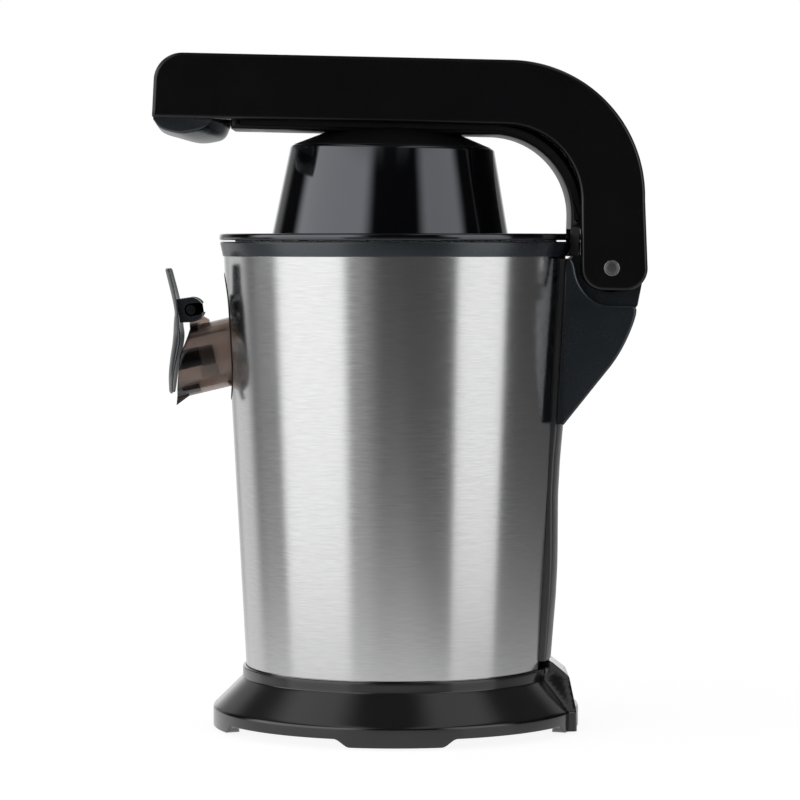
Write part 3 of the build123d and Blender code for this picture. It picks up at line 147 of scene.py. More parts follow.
FLOOR_HALF = 6.0
FLOOR_DROP = 0.0003
BACKDROP_SHARE = 0.72           # how much of the floor's look is plain white; the rest keeps the shadow
BACKDROP_LIGHT = 1.26
BACKDROP_MIRRORED = 0.50        # the same share in what the pieces mirror, less on the hinge's side
HINGE_SIDE_DIMMER, HINGE_SIDE_FROM, HINGE_SIDE_TO = 0.30, 0.02, 0.25
FLOOR_FADE = 0.4                # metres off the axis where the floor's reflection has halved
LOW_SHADE, WIDE_SHADE, HIGH_SHADE = 0.065, 0.012, 0.075
SOFT_BOXES = (                  # bearing from the camera's axis, half width and edge in degrees, light
    (-60.5, 26.5, 4.0, 1.34),
    (60.5, 18.8, 2.0, 1.22),
    (-102.0, 12.0, 8.0, 0.25),
    (-25.0, 9.0, 8.0, 0.28),
    (-138.0, 17.0, 8.0, 0.75),
    (-180.0, 20.0, 8.0, 0.8),
    (180.0, 20.0, 8.0, 0.8),
)
WIDE_BOXES = (                  # the same above the horizon, where the boxes are wider
    (-64.0, 41.0, 8.0, 1.85),
    (54.0, 22.0, 7.0, 1.45),
    (152.0, 12.0, 6.0, 0.3),
    (-150.0, 12.0, 8.0, 0.35),
    (-180.0, 20.0, 8.0, 1.1),
    (180.0, 18.0, 8.0, 1.1),
)
HIGH_BOXES = (                  # sideways over upwards, half width, edge, light
    (-0.56, 0.24, 0.12, 0.72),
    (0.42, 0.22, 0.10, 0.62),
)
WIDE_FROM, WIDE_TO, HIGH_FROM, HIGH_TO = -0.05, 0.02, 0.42, 0.62      # heights where the sets change
RIPPLE, LOWEST_RISE = 0.05, 0.05
FLOOR_GREY = 0.85

world = bpy.data.worlds.new("studio")
scene.world = world
sky = open_nodes(world)
heading = sky.node("ShaderNodeTexCoord", out="Generated")
towards = sky.node("ShaderNodeSeparateXYZ", out="X", i0=heading)
sideways, upwards = towards.output("Y"), towards.output("Z")
ripple = (sky.node("ShaderNodeTexNoise", Vector=heading, Scale=5.0, Detail=3.0) - 0.5) * RIPPLE
bearing = sideways.maths("ARCTAN2", towards) + ripple


def boxes(angle, places, scale, shade):
    """shade + sum over the boxes of (light - shade)(1 - step(|angle - middle|))."""
    total = angle * 0.0 + shade
    for middle, half, edge, light in places:
        away = (angle - middle * scale).maths("ABSOLUTE", 0.0)
        inside = 1.0 - away.step((half - edge) * scale, (half + edge) * scale)
        total = total + inside * (light - shade)
    return total


lean = sideways / upwards.maths("MAXIMUM", LOWEST_RISE) + ripple
wide, high = upwards.step(WIDE_FROM, WIDE_TO), upwards.step(HIGH_FROM, HIGH_TO)
room = boxes(bearing, SOFT_BOXES, radians(1.0), LOW_SHADE) * (1.0 - wide)
room = room + boxes(bearing, WIDE_BOXES, radians(1.0), WIDE_SHADE) * wide * (1.0 - high)
room = room + boxes(lean, HIGH_BOXES, 1.0, HIGH_SHADE) * high
camera_ray = sky.node("ShaderNodeLightPath", out="Is Camera Ray")
seen = (camera_ray + camera_ray.output("Is Transmission Ray")).maths("MINIMUM", 1.0)
light_level = room * (1.0 - seen) + seen
shine = light_level.node("ShaderNodeBackground", Color=grey(1.0), Strength=light_level)
light_level.node("ShaderNodeOutputWorld", Surface=shine)

floor_mesh = bpy.data.meshes.new("floor")
floor_mesh.from_pydata(
    [(-FLOOR_HALF, -FLOOR_HALF, -FLOOR_DROP), (FLOOR_HALF, -FLOOR_HALF, -FLOOR_DROP),
     (FLOOR_HALF, FLOOR_HALF, -FLOOR_DROP), (-FLOOR_HALF, FLOOR_HALF, -FLOOR_DROP)],
    [], [(0, 1, 2, 3)])
floor = bpy.data.objects.new("floor", floor_mesh)
scene.collection.objects.link(floor)
floor_white = bpy.data.materials.new("floor_white")
paper = open_nodes(floor_white)
matt = paper.node("ShaderNodeBsdfDiffuse", Color=grey(FLOOR_GREY))
plain = paper.node("ShaderNodeEmission", Color=grey(1.0), Strength=BACKDROP_LIGHT)
camera_ray = paper.node("ShaderNodeLightPath", out="Is Camera Ray")
clear_ray, glossy_ray = camera_ray.output("Is Transmission Ray"), camera_ray.output("Is Glossy Ray")
spot = paper.node("ShaderNodeTexCoord", out="Object")
near = paper.node("ShaderNodeVectorMath", {"operation": "LENGTH"}, out="Value", i0=spot) * (1.0 / FLOOR_FADE)
fade = 1.0 - (near * near + 1.0).maths("POWER", -1.0)
across = paper.node("ShaderNodeSeparateXYZ", out="Y", i0=spot)
dimmer = BACKDROP_MIRRORED - across.step(HINGE_SIDE_FROM, HINGE_SIDE_TO) * HINGE_SIDE_DIMMER
share = (camera_ray + clear_ray) * BACKDROP_SHARE + glossy_ray * dimmer
lit = paper.node("ShaderNodeMixShader", i0=share, i1=matt, i2=plain)
gone = paper.node("ShaderNodeBsdfTransparent")
paper.node("ShaderNodeOutputMaterial", Surface=paper.node(
    "ShaderNodeMixShader", i0=glossy_ray * fade, i1=lit, i2=gone))
floor_mesh.materials.append(floor_white)

# ---------------------------------------------------------------- base skirt
# A flared ring of gloss black plastic under the tower, with a crisp lip round the steel, four pads moulded
# under its rim and a faceted block at the back that carries the cord gland. It is one profile, turned.
def rounded(points, steps=6):
    """Closed outline with its corners turned into arcs: points are (a, b) or (a, b, radius).

    Each arc starts and ends r / tan(half the corner's angle) from its corner."""
    count = len(points)
    smooth = []
    for i in range(count):
        corner = np.array(points[i][:2], float)
        radius = points[i][2] if len(points[i]) > 2 else 0.0
        before = np.array(points[i - 1][:2], float) - corner
        after = np.array(points[(i + 1) % count][:2], float) - corner
        if radius <= 0:
            smooth.append(corner)
            continue
        before_long, after_long = np.hypot(*before), np.hypot(*after)
        before, after = before / before_long, after / after_long
        half = 0.5 * np.arccos(np.clip(before @ after, -1, 1))
        reach = min(radius / tan(half), 0.49 * before_long, 0.49 * after_long)
        middle = corner + (before + after) / np.hypot(*(before + after)) * reach / cos(half)
        start, end = corner + before * reach - middle, corner + after * reach - middle
        first = np.arctan2(start[1], start[0])
        turn = (np.arctan2(end[1], end[0]) - first + pi) % (2 * pi) - pi
        for share in np.linspace(0, 1, steps + 1):
            bearing_now = first + share * turn
            smooth.append(middle + np.hypot(*start) * np.array([cos(bearing_now), sin(bearing_now)]))
    return np.array(smooth)


def finer(outline, gap):
    """The closed outline with points added so that no side is longer than gap."""
    points = []
    for here, there in zip(outline, np.roll(outline, -1, axis=0)):
        parts = max(int(np.ceil(np.hypot(*(there - here)) / gap)), 1)
        points += [here + (there - here) * k / parts for k in range(parts)]
    return np.array(points)


def ring_faces(rows, columns, closed_rows=True, closed_columns=True):
    """Quads of a grid of vertices numbered row by row, joined at its ends where closed."""
    low = np.arange(rows if closed_rows else rows - 1)[:, None] * columns
    high = (low + columns) % (rows * columns)
    here = np.arange(columns if closed_columns else columns - 1)[None, :]
    after = (here + 1) % columns
    return np.stack([low + here, low + after, high + after, high + here], axis=2).reshape(-1, 4).tolist()


def circle(angle, radius, z, middle=(0.0, 0.0)):
    """A level row of points: x = r cos a, y = r sin a about middle."""
    return np.stack([radius * np.cos(angle) + middle[0], radius * np.sin(angle) + middle[1],
                     np.full_like(angle, z)], axis=1)


def level(x, y, z):
    """The points (x, y) of one section at height z."""
    return np.stack([x, y, np.full(len(x), z)], axis=1)


def edge_steps(edge, steps=5):
    """How far a quarter round of that radius steps in, 1 - cos t, and down, 1 - sin t."""
    turn = np.linspace(0, pi / 2, steps + 1)
    return edge * (1 - np.cos(turn)), edge * (1 - np.sin(turn))


def closed_ends(rows):
    """Rows of equal length joined into a skin, with a flat face at each end."""
    size = len(rows[0])
    faces = ring_faces(len(rows), size, closed_rows=False)
    faces += [tuple(range(size)), tuple(range((len(rows) - 1) * size, len(rows) * size))]
    return np.concatenate(rows), faces


def shown_mesh(name, points, faces, material, body, stands_for):
    """A mesh in millimetres as a smooth object on its body, in place of the nodes it stands for."""
    mesh = bpy.data.meshes.new(name)
    mesh.from_pydata((np.asarray(points) * MM).tolist(), [], faces)
    mesh.shade_smooth()
    mesh.materials.append(material)
    made = bpy.data.objects.new(name, mesh)
    scene.collection.objects.link(made)
    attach(made, body)
    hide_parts(*stands_for)
    return made


def piece(name, shells, material, body, stands_for, crease=34.0):
    """A finished object from closed shells in millimetres, smooth up to crease degrees, on its body.

    A shell is turned outward where the volume that its faces enclose comes out negative."""
    vertices, faces, start = [], [], 0
    for points, polygons in shells:
        points = np.asarray(points, float).reshape(-1, 3)
        fans = [(p[0], p[k], p[k + 1]) for p in polygons for k in range(1, len(p) - 1)]
        a, b, c = (points[np.array(fans)[:, k]] for k in range(3))
        inside_out = np.einsum("ij,ij->", a, np.cross(b, c)) < 0
        faces += [tuple(start + v for v in (reversed(p) if inside_out else p)) for p in polygons]
        vertices.append(points)
        start += len(points)
    made = shown_mesh(name, np.concatenate(vertices), faces, material, body, stands_for)
    made.data.set_sharp_from_angle(angle=radians(crease))


def dress(material, *nodes):
    """Gives carried-over nodes their finish."""
    for node in nodes:
        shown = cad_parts[node]
        shown.data.materials.clear()
        shown.data.materials.append(material)


def new_finish(name):
    """An empty material that stands for the record's slot of that name."""
    finish = bpy.data.materials.new(name + "_look")
    finish["slot"] = name
    return finish


CLOUDS, WEAR, GRAIN = 26.0, 70.0, 2600.0        # noise cells in a metre


def moulded(name, shade, rough, mottle=0.10, haze=0.16, coat=0.0, specular=0.5, relief=0.10,
            tint=(1.0, 1.0, 1.0)):
    """Moulded plastic or rubber: base colour c(1 + m n), roughness r + h(n' - 1/2), fine bump."""
    finish = new_finish(name)
    flow = open_nodes(finish)
    place = flow.node("ShaderNodeTexCoord", out="Object")
    cloud = flow.node("ShaderNodeTexNoise", Vector=place, Scale=CLOUDS, Detail=4.0, Roughness=0.6)
    grain = flow.node("ShaderNodeTexNoise", Vector=place, Scale=GRAIN, Detail=2.0)
    wear = flow.node("ShaderNodeTexNoise", Vector=place, Scale=WEAR, Detail=5.0, Roughness=0.65)
    low = tuple(c * (1 - mottle) for c in shade) + (1.0,)
    high = tuple(c * (1 + mottle) for c in shade) + (1.0,)
    bump = flow.node("ShaderNodeBump", Strength=relief, Distance=0.00004, Height=grain)
    surface = flow.node("ShaderNodeBsdfPrincipled", Base_Color=cloud.step(0.3, 0.7).blend(low, high),
                        Roughness=(wear - 0.5) * haze + rough, Normal=bump, Coat_Weight=coat,
                        Coat_Roughness=0.08, Specular_IOR_Level=specular,
                        Specular_Tint=tint + (1.0,))
    flow.node("ShaderNodeOutputMaterial", Surface=surface)
    return finish


SHELL_LOW_Z, SHELL_LOW_R = 27.0, 74.75
SHELL_TOP_Z, SHELL_TOP_R = 235.0, 85.86
LIP_R, LIP_LOW, LIP_TOP, LIP_FOOT, FLOOR_HOLE_R = 76.7, 25.1, 30.7, 24.4, 20.0
RIM_R, RIM_Z, SKIRT_Z, PAD_Z = 91.5, 10.5, 4.7, 0.8
BASE_WALL = 2.6
PADS = ((0.0, 14.0, 19.0), (90.0, 24.0, 29.0), (180.0, 14.0, 19.0), (270.0, 24.0, 29.0))
PAD_RING = 7.0
BLOCK_LEVELS = np.array([(4.7, 89.45, 33.0), (10.5, 89.3, 33.0), (26.5, 86.2, 20.0), (34.0, 76.9, 17.0)])
BLOCK_SHARP, BLOCK_RISE, BLOCK_CLEAR = 60, 3.3, 0.3
BASE_COLUMNS = 480


def shell_r(z):
    """Outer radius of the steel cone at height z."""
    return SHELL_LOW_R + (z - SHELL_LOW_Z) * (SHELL_TOP_R - SHELL_LOW_R) / (SHELL_TOP_Z - SHELL_LOW_Z)


def smooth_step(value, low, high):
    """3t^2 - 2t^3 of the share t of value between low and high."""
    share = np.clip((value - low) / (high - low), 0, 1)
    return share * share * (3 - 2 * share)


def base_shell():
    """Profile (r, z) turned about Z; outside r = max(flare, block) and z drops at the pads.

    The block's outline is 1 / r^p = (sin a / y)^p + (|cos a| / x)^p with p = 60, y and x by level;
    its top stands a little higher than the lip."""
    inner_r = SHELL_LOW_R + BLOCK_CLEAR
    outside = rounded([
        (RIM_R - BASE_WALL, SKIRT_Z), (RIM_R, SKIRT_Z, 0.35), (RIM_R, RIM_Z, 2.6), (LIP_R, LIP_LOW, 0.8),
        (LIP_R, LIP_TOP, 0.7), (inner_r, LIP_TOP, 0.25), (inner_r, LIP_FOOT),
    ])
    outside = finer(outside, 1.6)
    last = np.argmax((outside[:, 1] < LIP_TOP - 1.0) & (outside[:, 0] < inner_r + 0.01)
                     & (np.arange(len(outside)) > len(outside) // 2))
    skin = outside[:last + 1]
    inner = np.array([(inner_r, SHELL_LOW_Z), (FLOOR_HOLE_R, SHELL_LOW_Z), (FLOOR_HOLE_R, LIP_FOOT),
                      (LIP_R - BASE_WALL, LIP_FOOT), (RIM_R - BASE_WALL, 9.46), (RIM_R - BASE_WALL, SKIRT_Z)])
    angle = np.linspace(0, 2 * pi, BASE_COLUMNS, endpoint=False)
    pad = np.zeros_like(angle)
    for middle, half_low, half_high in PADS:
        off = np.abs((np.degrees(angle) - middle + 180) % 360 - 180)
        pad = np.maximum(pad, 1 - smooth_step(off, half_low, half_high))
    at_block = 1 - smooth_step(np.abs(np.cos(angle)) * LIP_R, 16.6, 17.6)
    at_block = np.where(np.sin(angle) > 0, at_block, 0)
    rows = []
    for k, (r, z) in enumerate(skin):
        raised = z + at_block * BLOCK_RISE * smooth_step(z, 28.5, 30.4)
        lowered = raised - pad * (SKIRT_Z - PAD_Z) * (1 - smooth_step(z, SKIRT_Z + 0.4, 9.5))
        depth = np.interp(lowered, BLOCK_LEVELS[:, 0], BLOCK_LEVELS[:, 1])
        half = np.interp(lowered, BLOCK_LEVELS[:, 0], BLOCK_LEVELS[:, 2])
        ahead = np.maximum(np.sin(angle), 0.02)
        across_block = np.abs(np.cos(angle)) / half
        block = ((ahead / depth) ** BLOCK_SHARP + across_block ** BLOCK_SHARP) ** (-1 / BLOCK_SHARP)
        block = np.where(np.sin(angle) > 0.4, block, 0)
        grown = np.where(r > LIP_R - 0.9, np.maximum(r, block - (LIP_R - min(r, LIP_R))), r)
        if k == 0:
            grown = grown - pad * (PAD_RING - BASE_WALL)
        clear = np.maximum(r, shell_r(lowered) + BLOCK_CLEAR)
        grown = np.where((r < LIP_R - 0.9) & (z > 28), clear, grown)
        rows.append(np.stack([grown * np.cos(angle), grown * np.sin(angle), lowered], axis=1))
    for r, z in inner:
        rows.append(circle(angle, r, z))
    first = rows[0].copy()
    first[:, 2] = SKIRT_Z
    rows.append(first)
    return np.array(rows), ring_faces(len(rows), BASE_COLUMNS)


base_plastic = moulded("base_plastic", (0.009, 0.009, 0.0095), 0.16, haze=0.08, coat=0.3, specular=0.6)
piece("base_skirt_form", [base_shell()], base_plastic, "housing", ["base_skirt"], crease=40.0)

# ---------------------------------------------------------------- base plate, feet, screws and gland
# A vented plastic plate closes the base from below, held by zinc-plated screws. Four rubber feet stand
# under it, and the rubber cord gland comes out of the rear block.
vent_plastic = moulded("vent_plastic", (0.02, 0.02, 0.02), 0.55)
foot_rubber = moulded("foot_rubber", (0.015, 0.015, 0.015), 0.72, specular=0.3, relief=0.2)


def metal(name, shade, rough, streak=(1.0, 1.0, 1.0), size=900.0, depth=0.06, relief=0.12, along=0.0,
          mottle=0.06):
    """Bare metal: noise drawn out by streak gives tone, roughness and a shallow bump."""
    finish = new_finish(name)
    flow = open_nodes(finish)
    place = flow.node("ShaderNodeTexCoord", out="Object")
    drawn = flow.node("ShaderNodeMapping", Vector=place, Scale=streak)
    lines = flow.node("ShaderNodeTexNoise", Vector=drawn, Scale=size, Detail=3.0, Roughness=0.6)
    cloud = flow.node("ShaderNodeTexNoise", Vector=place, Scale=18.0, Detail=4.0, Roughness=0.6)
    low = tuple(c * (1 - mottle) for c in shade) + (1.0,)
    high = tuple(min(c * (1 + mottle), 1.0) for c in shade) + (1.0,)
    bump = flow.node("ShaderNodeBump", Strength=relief, Distance=0.00003, Height=lines)
    surface = flow.node("ShaderNodeBsdfPrincipled",
                        Base_Color=lines.step(0.25, 0.75).blend(low, high), Metallic=1.0,
                        Roughness=(lines - 0.5) * depth + (cloud - 0.5) * depth + rough,
                        Normal=bump, Anisotropic=along)
    flow.node("ShaderNodeOutputMaterial", Surface=surface)
    return finish


zinc_screws = metal("zinc_screws", (0.55, 0.55, 0.56), 0.28)


def fan(tip, first, columns, under):
    """Triangles from a pole to the ring of vertices that starts at first, facing down where under."""
    here, after = first + np.arange(columns), first + (np.arange(columns) + 1) % columns
    corners = (after, here) if under else (here, after)
    return np.column_stack([np.full(columns, tip), *corners]).tolist()


def turned(outline, columns=192, axis_at=(0.0, 0.0)):
    """Closed profile (r, z) turned about an upright line; rows at r = 0 become one pole."""
    angle = np.linspace(0, 2 * pi, columns, endpoint=False)
    outline = np.asarray(outline, float)
    on_axis = outline[:, 0] < 1e-6
    if on_axis.any():
        turn = [k for k in range(len(outline)) if on_axis[k] and not on_axis[(k + 1) % len(outline)]][0]
        outline = np.roll(outline, -turn, axis=0)
        body = outline[1:][outline[1:, 0] >= 1e-6]
        poles = (outline[0], outline[outline[:, 0] < 1e-6][-1])
    else:
        body, poles = outline, ()
    rows = np.stack([circle(angle, r, z, axis_at) for r, z in body])
    faces = ring_faces(len(body), columns, closed_rows=not on_axis.any())
    vertices = rows.reshape(-1, 3)
    for k, pole in enumerate(poles):
        vertices = np.concatenate([vertices, [[axis_at[0], axis_at[1], pole[1]]]])
        row = 0 if k == 0 else (len(body) - 1) * columns
        faces += fan(len(vertices) - 1, row, columns, under=k == 0)
    return vertices, faces


dress(vent_plastic, "base_plate")
dress(zinc_screws, "base_screws")
FOOT_R, FOOT_CIRCLE = 8.0, 75.0
foot_line = rounded([(0, 0), (FOOT_R, 0, 1.3), (FOOT_R, SKIRT_Z, 0.1), (0, SKIRT_Z)])
piece("rubber_feet", [turned(foot_line, 48, (FOOT_CIRCLE * cos(t), FOOT_CIRCLE * sin(t)))
                      for t in (0, pi / 2, pi, 3 * pi / 2)], foot_rubber, "housing", ["feet"])


def along_y(shell, x, z):
    """A shell turned about Z laid down so that its axis runs along +Y through (x, z)."""
    points, faces = shell
    points = np.asarray(points)
    return np.stack([points[:, 0] + x, points[:, 2], points[:, 1] + z], axis=1), faces


gland_line = rounded([(3.6, 77.2), (6.0, 77.2), (6.0, 86.8, 1.0), (3.6, 86.8, 0.6)])
piece("cord_gland_form", [along_y(turned(gland_line, 48), 0.0, 17.5)], foot_rubber, "housing",
      ["cord_gland"])

# ---------------------------------------------------------------- steel tower
# A thin cone of brushed stainless sheet, open along a seam behind the spine, with an upright slot with
# round ends at the front for the spout. It is one skin that gets its wall inward.
SEAM_ANGLE = radians(19.5)
SLOT_HALF, SLOT_LOW, SLOT_HIGH = 19.0, 163.0, 227.0
STEEL_WALL, EDGE_ROW = 0.8, 0.12
SIDE_COLUMNS, SLOT_COLUMNS = 119, 48


def steel_sheet():
    """Outside of the cone as a grid: x = r(z) cos a, y = r(z) sin a, split above and below the slot.

    The slot's edge is z = end -+ sqrt(h^2 - x^2) at its round ends, x = r cos a."""
    straight_low, straight_high = SLOT_LOW + SLOT_HALF, SLOT_HIGH - SLOT_HALF
    slot_angle = np.arcsin(SLOT_HALF / shell_r(straight_low))
    around = np.concatenate([
        np.linspace(pi / 2 + SEAM_ANGLE, 1.5 * pi - slot_angle, SIDE_COLUMNS + 1)[:-1],
        1.5 * pi + slot_angle * np.sin(np.linspace(-pi / 2, pi / 2, SLOT_COLUMNS + 1)),
        np.linspace(1.5 * pi + slot_angle, 2.5 * pi - SEAM_ANGLE, SIDE_COLUMNS + 1)[1:]])
    first, last = SIDE_COLUMNS, SIDE_COLUMNS + SLOT_COLUMNS

    def from_foot(end, count=26):
        """Heights up from the foot, with one close row that keeps the edge crisp."""
        return np.concatenate([[SHELL_LOW_Z], np.linspace(SHELL_LOW_Z + EDGE_ROW, end, count - 1)])

    def to_top(start, count=10):
        """Heights up to the top edge, with one close row below it."""
        return np.concatenate([np.linspace(start, SHELL_TOP_Z - EDGE_ROW, count - 1), [SHELL_TOP_Z]])

    low = from_foot(straight_low)
    middle = np.linspace(straight_low, straight_high, 6)[1:-1]
    high = to_top(straight_high)
    count = len(low) + len(middle) + len(high)
    heights = np.tile(np.concatenate([low, middle, high])[:, None], (1, len(around)))
    for j in range(first, last + 1):
        x = shell_r(straight_low) * cos(around[j])
        bulge = sqrt(max(SLOT_HALF ** 2 - x * x, 0.0))
        heights[:len(low), j] = from_foot(straight_low - bulge)
        heights[-len(high):, j] = to_top(straight_high + bulge)
    edge_low, edge_high = len(low) - 1, len(low) + len(middle)
    vertices = np.stack([shell_r(heights) * np.cos(around), shell_r(heights) * np.sin(around), heights],
                        axis=2)
    inside = np.zeros(heights.shape, bool)
    inside[edge_low + 1:edge_high, first + 1:last] = True
    number = np.cumsum(~inside.reshape(-1)) - 1
    quads = np.array(ring_faces(count, len(around), closed_rows=False, closed_columns=False))
    i, j = np.divmod(np.arange(len(quads)), len(around) - 1)
    in_slot = (i >= edge_low) & (i < edge_high) & (j >= first) & (j < last)
    return vertices.reshape(-1, 3)[~inside.reshape(-1)], number[quads[~in_slot]].tolist()


def sheet_metal(name, shell, wall, material, body, stands_for):
    """One skin given a wall inward by a Solidify modifier."""
    made = shown_mesh(name, *shell, material, body, stands_for)
    thick = made.modifiers.new("wall", "SOLIDIFY")
    thick.thickness = wall * MM
    thick.offset = -1.0
    thick.use_quality_normals = True


brushed_steel = metal("brushed_steel", (0.63, 0.63, 0.635), 0.17, streak=(0.05, 0.05, 1.0), size=2400.0,
                      depth=0.07, relief=0.045, along=0.2)
sheet_metal("steel_cone", steel_sheet(), STEEL_WALL, brushed_steel, "housing", ["steel_shell"])

# ---------------------------------------------------------------- inner housing, slot bezel, top collar
# The black plastic tube inside the steel, the trim round the slot, and the anthracite collar that carries
# the bowl on a silicone ring. Collar and ring are turned, the trim is bent round the cone.
housing_plastic = moulded("housing_plastic", (0.003, 0.003, 0.003), 0.40, specular=0.3)
spine_plastic = moulded("spine_plastic", (0.045, 0.046, 0.049), 0.32, specular=0.9)
anthracite = moulded("anthracite", (0.0135, 0.0175, 0.0215), 0.27, haze=0.08, specular=0.9, relief=0.04,
                      tint=(0.88, 0.94, 1.0))
gasket_silicone = moulded("gasket_silicone", (0.72, 0.74, 0.75), 0.42)
dress(housing_plastic, "inner_housing")


TRIM_RING = ((0.08, -2.0), (0.08, 0.05), (0.4, 0.3), (1.1, 0.3), (1.4, 0.05), (1.4, -2.0))


def bezel_shell():
    """Trim: each (d, o) of its ring lies d inside the slot's edge, at y = -sqrt((r(z) + o)^2 - x^2)."""
    turn = np.linspace(0, pi, 41)
    rows = []
    for inset, off in TRIM_RING:
        reach = SLOT_HALF - inset
        x = np.concatenate([reach * np.cos(turn), -reach * np.cos(turn)])
        z = np.concatenate([SLOT_HIGH - SLOT_HALF + reach * np.sin(turn),
                            SLOT_LOW + SLOT_HALF - reach * np.sin(turn)])
        rows.append(np.stack([x, -np.sqrt((shell_r(z) + off) ** 2 - x ** 2), z], axis=1))
    return np.concatenate(rows), ring_faces(len(rows), len(rows[0]))


piece("slot_bezel_form", [bezel_shell()], housing_plastic, "housing", ["slot_bezel"])
collar_line = rounded([
    (76.0, 232.0), (84.71, 232.0), (84.71, 235.0), (86.25, 235.0, 0.35), (87.75, 242.2, 0.7),
    (80.25, 242.2), (80.25, 240.4), (78.2, 240.4), (78.2, 242.2), (76.0, 242.2, 0.4)])
piece("top_collar_form", [turned(collar_line, 256)], anthracite, "housing", ["top_collar"])
ring_line = rounded([(78.2, 240.4), (80.25, 240.4), (80.25, 242.9, 0.3), (78.2, 242.9, 0.3)])
piece("bowl_gasket_form", [turned(ring_line, 192)], gasket_silicone, "housing", ["bowl_gasket"])

# ---------------------------------------------------------------- rear spine and hinge bracket
# A tapering plastic upright covers the steel's seam. The anthracite bracket on its upper half is screwed on
# and carries the lever's pin on a tongue between the lever's cheeks.
SPINE_HIGH = 233.7
SPINE_SWELL = np.array([(31.1, 2.5), (47.0, 2.9), (65.0, 3.4), (80.0, 3.37), (89.0, 3.04), (116.0, 1.75),
                        (134.0, 1.75), (150.0, 2.3), (SPINE_HIGH, 2.6)])
SPINE_LOW_HALF, SPINE_TOP_HALF, SPINE_ROOT, SPINE_FOOT = 23.6, 27.8, 32.0, 34.2
SPINE_EDGE, SPINE_CHAMFER = 1.1, 0.4
PIN_Y, PIN_Z, PIN_R = 106.06, 229.26, 3.9


def spine_half(z):
    """Half width of the spine at height z."""
    share = (z - SPINE_ROOT) / (SPINE_HIGH - SPINE_ROOT)
    return SPINE_LOW_HALF + share * (SPINE_TOP_HALF - SPINE_LOW_HALF)


def spine_proud(z):
    """How far the spine stands off the steel at height z."""
    return np.interp(z, SPINE_SWELL[:, 0], SPINE_SWELL[:, 1])


def spine_shell():
    """Sections (x, offset) of a flat bar bent round the cone: y = sqrt((r(z) + offset)^2 - x^2)."""
    rows = []
    between = np.linspace(SPINE_FOOT + 0.5, SPINE_HIGH - 0.5, 60)
    heights = np.concatenate([[SPINE_FOOT], between, [SPINE_HIGH]])
    inset, drop = edge_steps(SPINE_EDGE)
    for k, z in enumerate(heights):
        less = SPINE_CHAMFER if k in (0, len(heights) - 1) else 0.0
        half, proud = spine_half(z) - less, spine_proud(z) - less
        x = np.concatenate([np.linspace(-half, half, 25), half - inset,
                            np.linspace(half - 2.5, -half + 2.5, 25), -half + inset[::-1]])
        off = np.concatenate([np.full(25, -STEEL_WALL), proud - drop, np.full(25, proud), proud - drop[::-1]])
        rows.append(level(x, np.sqrt((shell_r(z) + off) ** 2 - x ** 2), z))
    return closed_ends(rows)


piece("rear_spine_form", [spine_shell()], spine_plastic, "housing", ["rear_spine"])
BRACKET_HALF, BRACKET_GAP, BRACKET_EDGE, TONGUE_HALF, TONGUE_R = 32.0, 0.3, 1.6, 23.2, 12.6
WING_LOW, WING_FRONT = 152.2, (82.06, 83.96)
WING_OFF_SPINE, WING_ON_SPINE, WING_LEAST = 0.05, 0.12, 0.15
WING_BACK = np.array([
    (82.7, WING_LOW), (86.6, 157.1), (92.5, 164.5), (100.3, 174.3), (108.2, 184.1), (113.6, 193.9),
    (117.5, 203.7), (118.6, 209.4), (116.7, 210.6), (104.9, 210.6), (99.6, 211.7), (95.0, 215.0),
    (91.1, 219.9), (88.8, 225.2), (87.9, 231.1), (86.4, SPINE_HIGH)])


def soften(line, rounds=2):
    """Open line with its corners cut a quarter of the way along each side, rounds times."""
    for _ in range(rounds):
        near, far = line[:-1] * 0.75 + line[1:] * 0.25, line[:-1] * 0.25 + line[1:] * 0.75
        line = np.concatenate([line[:1], np.stack([near, far], axis=1).reshape(-1, 2), line[-1:]])
    return line


def wing_shell():
    """Level sections from the back line y(z) to the spine, y = sqrt((r(z) + gap)^2 - x^2).

    Beside the spine they reach to a sloping plane y = a + b z instead."""
    line, rows = soften(WING_BACK), []
    inset, drop = edge_steps(BRACKET_EDGE)
    for k, (back, z) in enumerate(line):
        half = BRACKET_HALF - (SPINE_CHAMFER if k in (0, len(line) - 1) else 0.0)
        step = spine_half(z) + BRACKET_GAP
        left = -half + inset
        x_back = np.concatenate([left, np.linspace(left[-1] + 2, -left[-1] - 2, 20), -left[::-1]])
        y_back = back - np.concatenate([drop, np.zeros(20), drop[::-1]])
        front = np.interp(z, (WING_LOW, SPINE_HIGH), WING_FRONT)
        spine_r = shell_r(z) + spine_proud(z)
        spine_y = np.sqrt(np.maximum((spine_r + WING_ON_SPINE) ** 2 - x_back ** 2, 0))
        y_back = np.maximum(y_back, np.where(np.abs(x_back) < step, spine_y, front + WING_LEAST))
        x_front = np.concatenate([np.linspace(half, step + 0.1, 5), np.linspace(step, -step, 25),
                                  np.linspace(-step - 0.1, -half, 5)])
        on_spine = np.sqrt((spine_r + WING_OFF_SPINE) ** 2 - x_front ** 2)
        y_front = np.where(np.abs(x_front) > step + 0.05, front, on_spine)
        x, y = np.concatenate([x_back, x_front]), np.concatenate([y_back, y_front])
        rows.append(level(x, y, z))
    return closed_ends(rows)


def inward(outline):
    """Mitred inward offsets of one unit at each point of a closed outline."""
    ahead = np.roll(outline, -1, axis=0) - outline
    ahead /= np.hypot(ahead[:, 0], ahead[:, 1])[:, None]
    y, z = outline[:, 0], outline[:, 1]
    clockwise = np.sum(y * np.roll(z, -1) - np.roll(y, -1) * z) < 0
    normal = np.stack([ahead[:, 1], -ahead[:, 0]], axis=1) * (1 if clockwise else -1)
    both = normal + np.roll(normal, 1, axis=0)
    return both / np.maximum(1 + np.sum(normal * np.roll(normal, 1, axis=0), axis=1), 0.35)[:, None]


